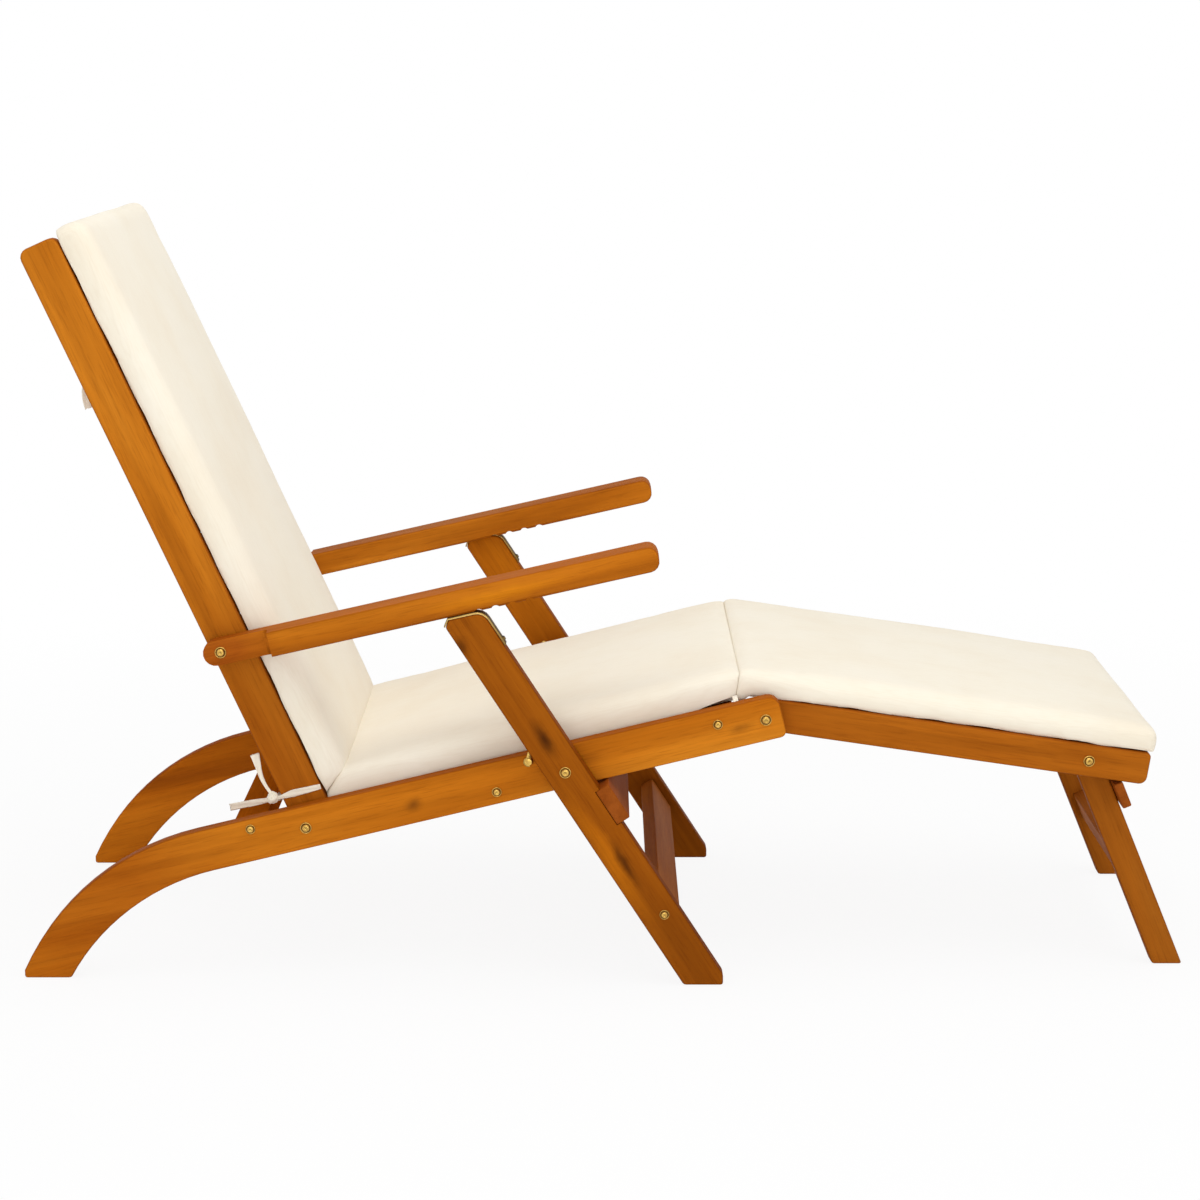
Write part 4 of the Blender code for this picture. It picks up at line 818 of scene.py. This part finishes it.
def makeCushion(name, pad, shape, hold):
    print("  " + name)
    piece = cushionBlank(name, shape)
    remesh = piece.modifiers.new("voxels", "REMESH")
    remesh.mode = "VOXEL"
    remesh.voxel_size = cushionMake["voxel"]
    applyModifiers(piece)
    smoothMesh(piece.data, cushionMake["rounding"])
    inflate(piece)
    gather(piece.data, pad["middle"], pad["depth"])
    smoothMesh(piece.data, cushionMake["softening"])
    refine = piece.modifiers.new("finer", "SUBSURF")
    refine.levels = 1
    refine.render_levels = 1
    applyModifiers(piece)
    holdBack(piece.data, hold)
    piece.data.transform(along(pad["member"]))
    piece.data.shade_smooth()
    piece.data.set_sharp_from_angle(angle=math.radians(cushionMake["sharpAngle"]))
    piece.data.materials.clear()
    piece.data.materials.append(fabrics[pad["member"]])
    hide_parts(pad["node"])
    return piece


def pressFlat(piece):
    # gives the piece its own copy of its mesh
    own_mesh(piece)


backCushion = makeCushion("backCushion", backPad, backShape, backHold)
seatCushion = makeCushion("seatCushion", seatPad, seatShape, seatHold)
legCushion = makeCushion("legCushion", legPad, legShape, legHold)
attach(backCushion, "backrest")
pressFlat(backCushion)
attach(seatCushion, "seat_frame")
pressFlat(seatCushion)
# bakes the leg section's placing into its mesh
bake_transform(legCushion)

# the plain tab of tape caught in the seam between seat and leg sections
tab = {"across": (0.2432, 0.2450, 0.2478, 0.2515), "above": (0.0335, 0.0302, 0.0286, 0.0281), "width": 0.68,
       "along": 0.5716}
tabPath = smoothPath([(tab["along"], -y, z) for y, z in zip(tab["across"], tab["above"])], 4)
tabPath = [along("seat") @ point for point in tabPath]
tabPiece = tapePiece("seamTab", tabPath, ((0.0, tab["width"]), (1.0, tab["width"])), fabrics["seat"],
                     across=(along("seat").to_3x3() @ Vector((1, 0, 0))))
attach(tabPiece, "seat_frame")

# frame boards and fastenings: the solids, shaded smooth on their edges only, and turned heads on the bolts
print("frame")
boltHead = {
    "rise": 0.0040, "lap": 0.0002, "steps": 40, "pivotRadius": 0.0073, "rodRadius": 0.0063,
    # share of the radius, height in mm: flange, recess, cap and socket
    "profile": ((1.00, 0.0), (1.00, 0.80), (0.97, 1.15), (0.91, 1.30), (0.84, 1.15), (0.81, 0.60), (0.73, 0.55),
                (0.70, 0.90), (0.67, 2.10), (0.59, 3.05), (0.47, 3.65), (0.33, 3.95), (0.30, 3.85), (0.27, 3.40),
                (0.25, 2.90), (0.13, 3.10), (0.08, 2.60), (0.0, 2.50)),
    # the parts painted dark as shade in the hollows: the socket up to a share of the radius, the recess between
    # two and below a height
    "socket": 0.09, "recess": (0.69, 0.83), "recessBelow": 1.0,
}
sharpAngles = {"board": 50, "strap": 50, "turned": 40}
flatShare = 0.05  # of a board's surface, from which a direction counts as one of its flat faces


def inPaintedShade(out, up):
    inner, outer = boltHead["recess"]
    return out < boltHead["socket"] or (inner < out < outer and up < boltHead["recessBelow"])


def remakeHeads(bm, node):
    # cuts the plain ends off a bolt and turns a flanged, socketed head in their place
    low = Vector(tuple(min(vert.co[axis] for vert in bm.verts) for axis in range(3)))
    high = Vector(tuple(max(vert.co[axis] for vert in bm.verts) for axis in range(3)))
    middle = (low + high) / 2
    radius = boltHead["rodRadius" if "rod" in node and "pivot" not in node else "pivotRadius"]
    ends = [(-1, low.y), (1, high.y)]
    if "rod" not in node:
        ends = [max(ends, key=lambda end: abs(end[1]))]
    for sign, tip in ends:
        base = tip - sign * boltHead["rise"]
        geometry = bm.verts[:] + bm.edges[:] + bm.faces[:]
        cut = bmesh.ops.bisect_plane(bm, geom=geometry, plane_co=(0, base + sign * boltHead["lap"], 0),
                                     plane_no=(0, sign, 0), clear_outer=True)
        edges = [item for item in cut["geom_cut"] if isinstance(item, bmesh.types.BMEdge)]
        bmesh.ops.holes_fill(bm, edges=edges)
        ring = [bm.verts.new((middle.x + share * radius, base + sign * height / 1000, middle.z))
                for share, height in boltHead["profile"]]
        lines = [bm.edges.new(pair) for pair in zip(ring, ring[1:])]
        before = set(bm.faces)
        bmesh.ops.spin(bm, geom=ring + lines, cent=middle, axis=(0, 1, 0), angle=math.tau,
                       steps=boltHead["steps"], use_merge=True)
        made = [face for face in bm.faces if face not in before]
        bmesh.ops.remove_doubles(bm, verts=list({vert for face in made for vert in face.verts}), dist=weldWithin)
        for face in bm.faces:
            if face in before:
                continue
            centre = face.calc_center_median()
            out = math.hypot(centre.x - middle.x, centre.z - middle.z) / radius
            # faces in the socket and recess take the dark material, painted shade
            if inPaintedShade(out, sign * (centre.y - base) * 1000):
                face.material_index = 1
    bmesh.ops.recalc_face_normals(bm, faces=bm.faces[:])


def holdFlat(mesh, sharpAngle):
    # the wide faces of a board stay flat, and only its rounded edges and curves shade smoothly
    def key(normal):
        return tuple(round(value, 2) for value in normal)

    areas = {}
    for face in mesh.polygons:
        areas[key(face.normal)] = areas.get(key(face.normal), 0) + face.area
    total = sum(areas.values())
    flat = {index for index, face in enumerate(mesh.polygons) if areas[key(face.normal)] > flatShare * total}
    flatAt = {}
    for index in flat:
        for vertex in mesh.polygons[index].vertices:
            flatAt.setdefault(vertex, []).append(mesh.polygons[index].normal.copy())
    corners = [corner.vector.copy() for corner in mesh.corner_normals]
    for index, face in enumerate(mesh.polygons):
        for loop, vertex in zip(face.loop_indices, face.vertices):
            if index in flat:
                corners[loop] = face.normal.copy()
            elif vertex in flatAt:
                nearest = max(flatAt[vertex], key=face.normal.dot)
                if face.normal.dot(nearest) > math.cos(math.radians(sharpAngle)):
                    corners[loop] = nearest
    mesh.normals_split_custom_set(corners)


def dress(node, material, slot, sharpAngle, heads=False):
    bm = bmesh.new()
    bm.from_mesh(frame["nodes"][node].data)
    bmesh.ops.remove_doubles(bm, verts=bm.verts[:], dist=weldWithin)
    bmesh.ops.recalc_face_normals(bm, faces=bm.faces[:])
    if heads:
        remakeHeads(bm, node)
    piece = finishPiece(bm, node + "_dressed", material)
    if heads:
        piece.data.materials.append(brassRecessShade)
    piece.data.set_sharp_from_angle(angle=math.radians(sharpAngle))
    if slot.startswith("acacia"):
        holdFlat(piece.data, sharpAngle)
    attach(piece, bodyOf[node])
    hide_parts(node)


for node in bodyOf:
    if "cushion" in node:
        continue
    if "bush" in node:
        dress(node, nylon, "nylon", sharpAngles["turned"])
    elif "strap" in node:
        dress(node, brassStrap, "brass", sharpAngles["strap"])
    elif any(word in node for word in ("rod", "bolt")):
        dress(node, brass, "brass", sharpAngles["turned"], heads=True)
    elif any(word in node for word in ("stud", "hook")):
        dress(node, brass, "brass", sharpAngles["turned"])
    else:
        kind = next(kind for part, kind in woodOf if part in node)
        dress(node, woods[kind], "acacia_dark" if kind in darkBoards else "acacia", sharpAngles["board"])

# studio: white floor and backdrop, broad soft lamps
print("studio")
studio = {
    "ambient": 0.63, "floorSize": 30, "floorDrop": 0.0005, "floorWhite": 0.92,
    # glow of the floor near the lounger, and the distances between which it grows to plain white
    "glowNear": 0.90, "glowFrom": 0.85, "glowTo": 2.4,
    "lamps": (
        {"name": "topSoftbox", "place": (0.2, -0.6, 3.0), "aim": (0, 0, 0.4), "size": 3.2, "power": 36},
        {"name": "frontSoftbox", "place": (-1.0, -3.6, 1.7), "aim": (0, 0, 0.4), "size": 2.8, "power": 13},
        {"name": "lowFill", "place": (0.0, -3.2, 0.15), "aim": (0, 0, 0.45), "size": 2.4, "power": 21},
        {"name": "rightSoftbox", "place": (3.0, -1.8, 1.8), "aim": (0, 0, 0.4), "size": 2.2, "power": 8},
    ),
}


def seenDirectly(nodes, links):
    # 1 for rays from the camera, in a mirror or through glass, 0 for light that falls on the lounger
    path = nodes.new("ShaderNodeLightPath")
    return maths(nodes, links, "MAXIMUM", path.outputs["Is Camera Ray"],
                 maths(nodes, links, "MAXIMUM", path.outputs["Is Glossy Ray"],
                       path.outputs["Is Transmission Ray"]))


def makeFloorMaterial():
    material, nodes, links, shader = newMaterial("whiteFloor")
    shader.inputs["Base Color"].default_value = (*grey(studio["floorWhite"]), 1)
    shader.inputs["Roughness"].default_value = 0.9
    shader.inputs["Specular IOR Level"].default_value = 0.1
    glow = nodes.new("ShaderNodeEmission")
    # plain white glow takes over away from the lounger, so the floor runs into the backdrop
    fade = nodes.new("ShaderNodeMapRange")
    fade.interpolation_type = "SMOOTHSTEP"
    place = nodes.new("ShaderNodeTexCoord").outputs["Object"]
    links.new(vectorMaths(nodes, links, "LENGTH", place), fade.inputs["Value"])
    for socket, value in (("From Min", studio["glowFrom"]), ("From Max", studio["glowTo"]),
                          ("To Min", studio["glowNear"]), ("To Max", 1.0)):
        fade.inputs[socket].default_value = value
    both = nodes.new("ShaderNodeMixShader")
    links.new(maths(nodes, links, "MULTIPLY", seenDirectly(nodes, links), fade.outputs["Result"]),
              both.inputs["Fac"])
    links.new(shader.outputs["BSDF"], both.inputs[1])
    links.new(glow.outputs["Emission"], both.inputs[2])
    output = next(node for node in nodes if node.type == "OUTPUT_MATERIAL")
    links.new(both.outputs["Shader"], output.inputs["Surface"])
    return material


def makeFloor():
    bm = bmesh.new()
    bmesh.ops.create_grid(bm, x_segments=2, y_segments=2, size=studio["floorSize"])
    mesh = bpy.data.meshes.new("floor")
    bm.to_mesh(mesh)
    bm.free()
    floor = bpy.data.objects.new("floor", mesh)
    floor.location.z = -studio["floorDrop"]
    mesh.materials.append(makeFloorMaterial())
    scene.collection.objects.link(floor)


def makeWorld():
    world = bpy.data.worlds.new("whiteStudio")
    world.use_nodes = True
    nodes, links = world.node_tree.nodes, world.node_tree.links
    background = nodes["Background"]
    background.inputs["Color"].default_value = (1, 1, 1, 1)
    strength = maths(nodes, links, "MULTIPLY_ADD", seenDirectly(nodes, links), 1.0 - studio["ambient"],
                     studio["ambient"])
    links.new(strength, background.inputs["Strength"])
    scene.world = world


def makeLamp(spec):
    lampData = bpy.data.lights.new(spec["name"], "AREA")
    lampData.shape = "DISK"
    lampData.size = spec["size"]
    lampData.energy = spec["power"]
    lamp = bpy.data.objects.new(spec["name"], lampData)
    lamp.location = spec["place"]
    direction = Vector(spec["aim"]) - Vector(spec["place"])
    lamp.rotation_euler = direction.to_track_quat("-Z", "Y").to_euler()
    scene.collection.objects.link(lamp)


makeFloor()
makeWorld()
for spec in studio["lamps"]:
    makeLamp(spec)
scene.view_settings.view_transform = "Standard"
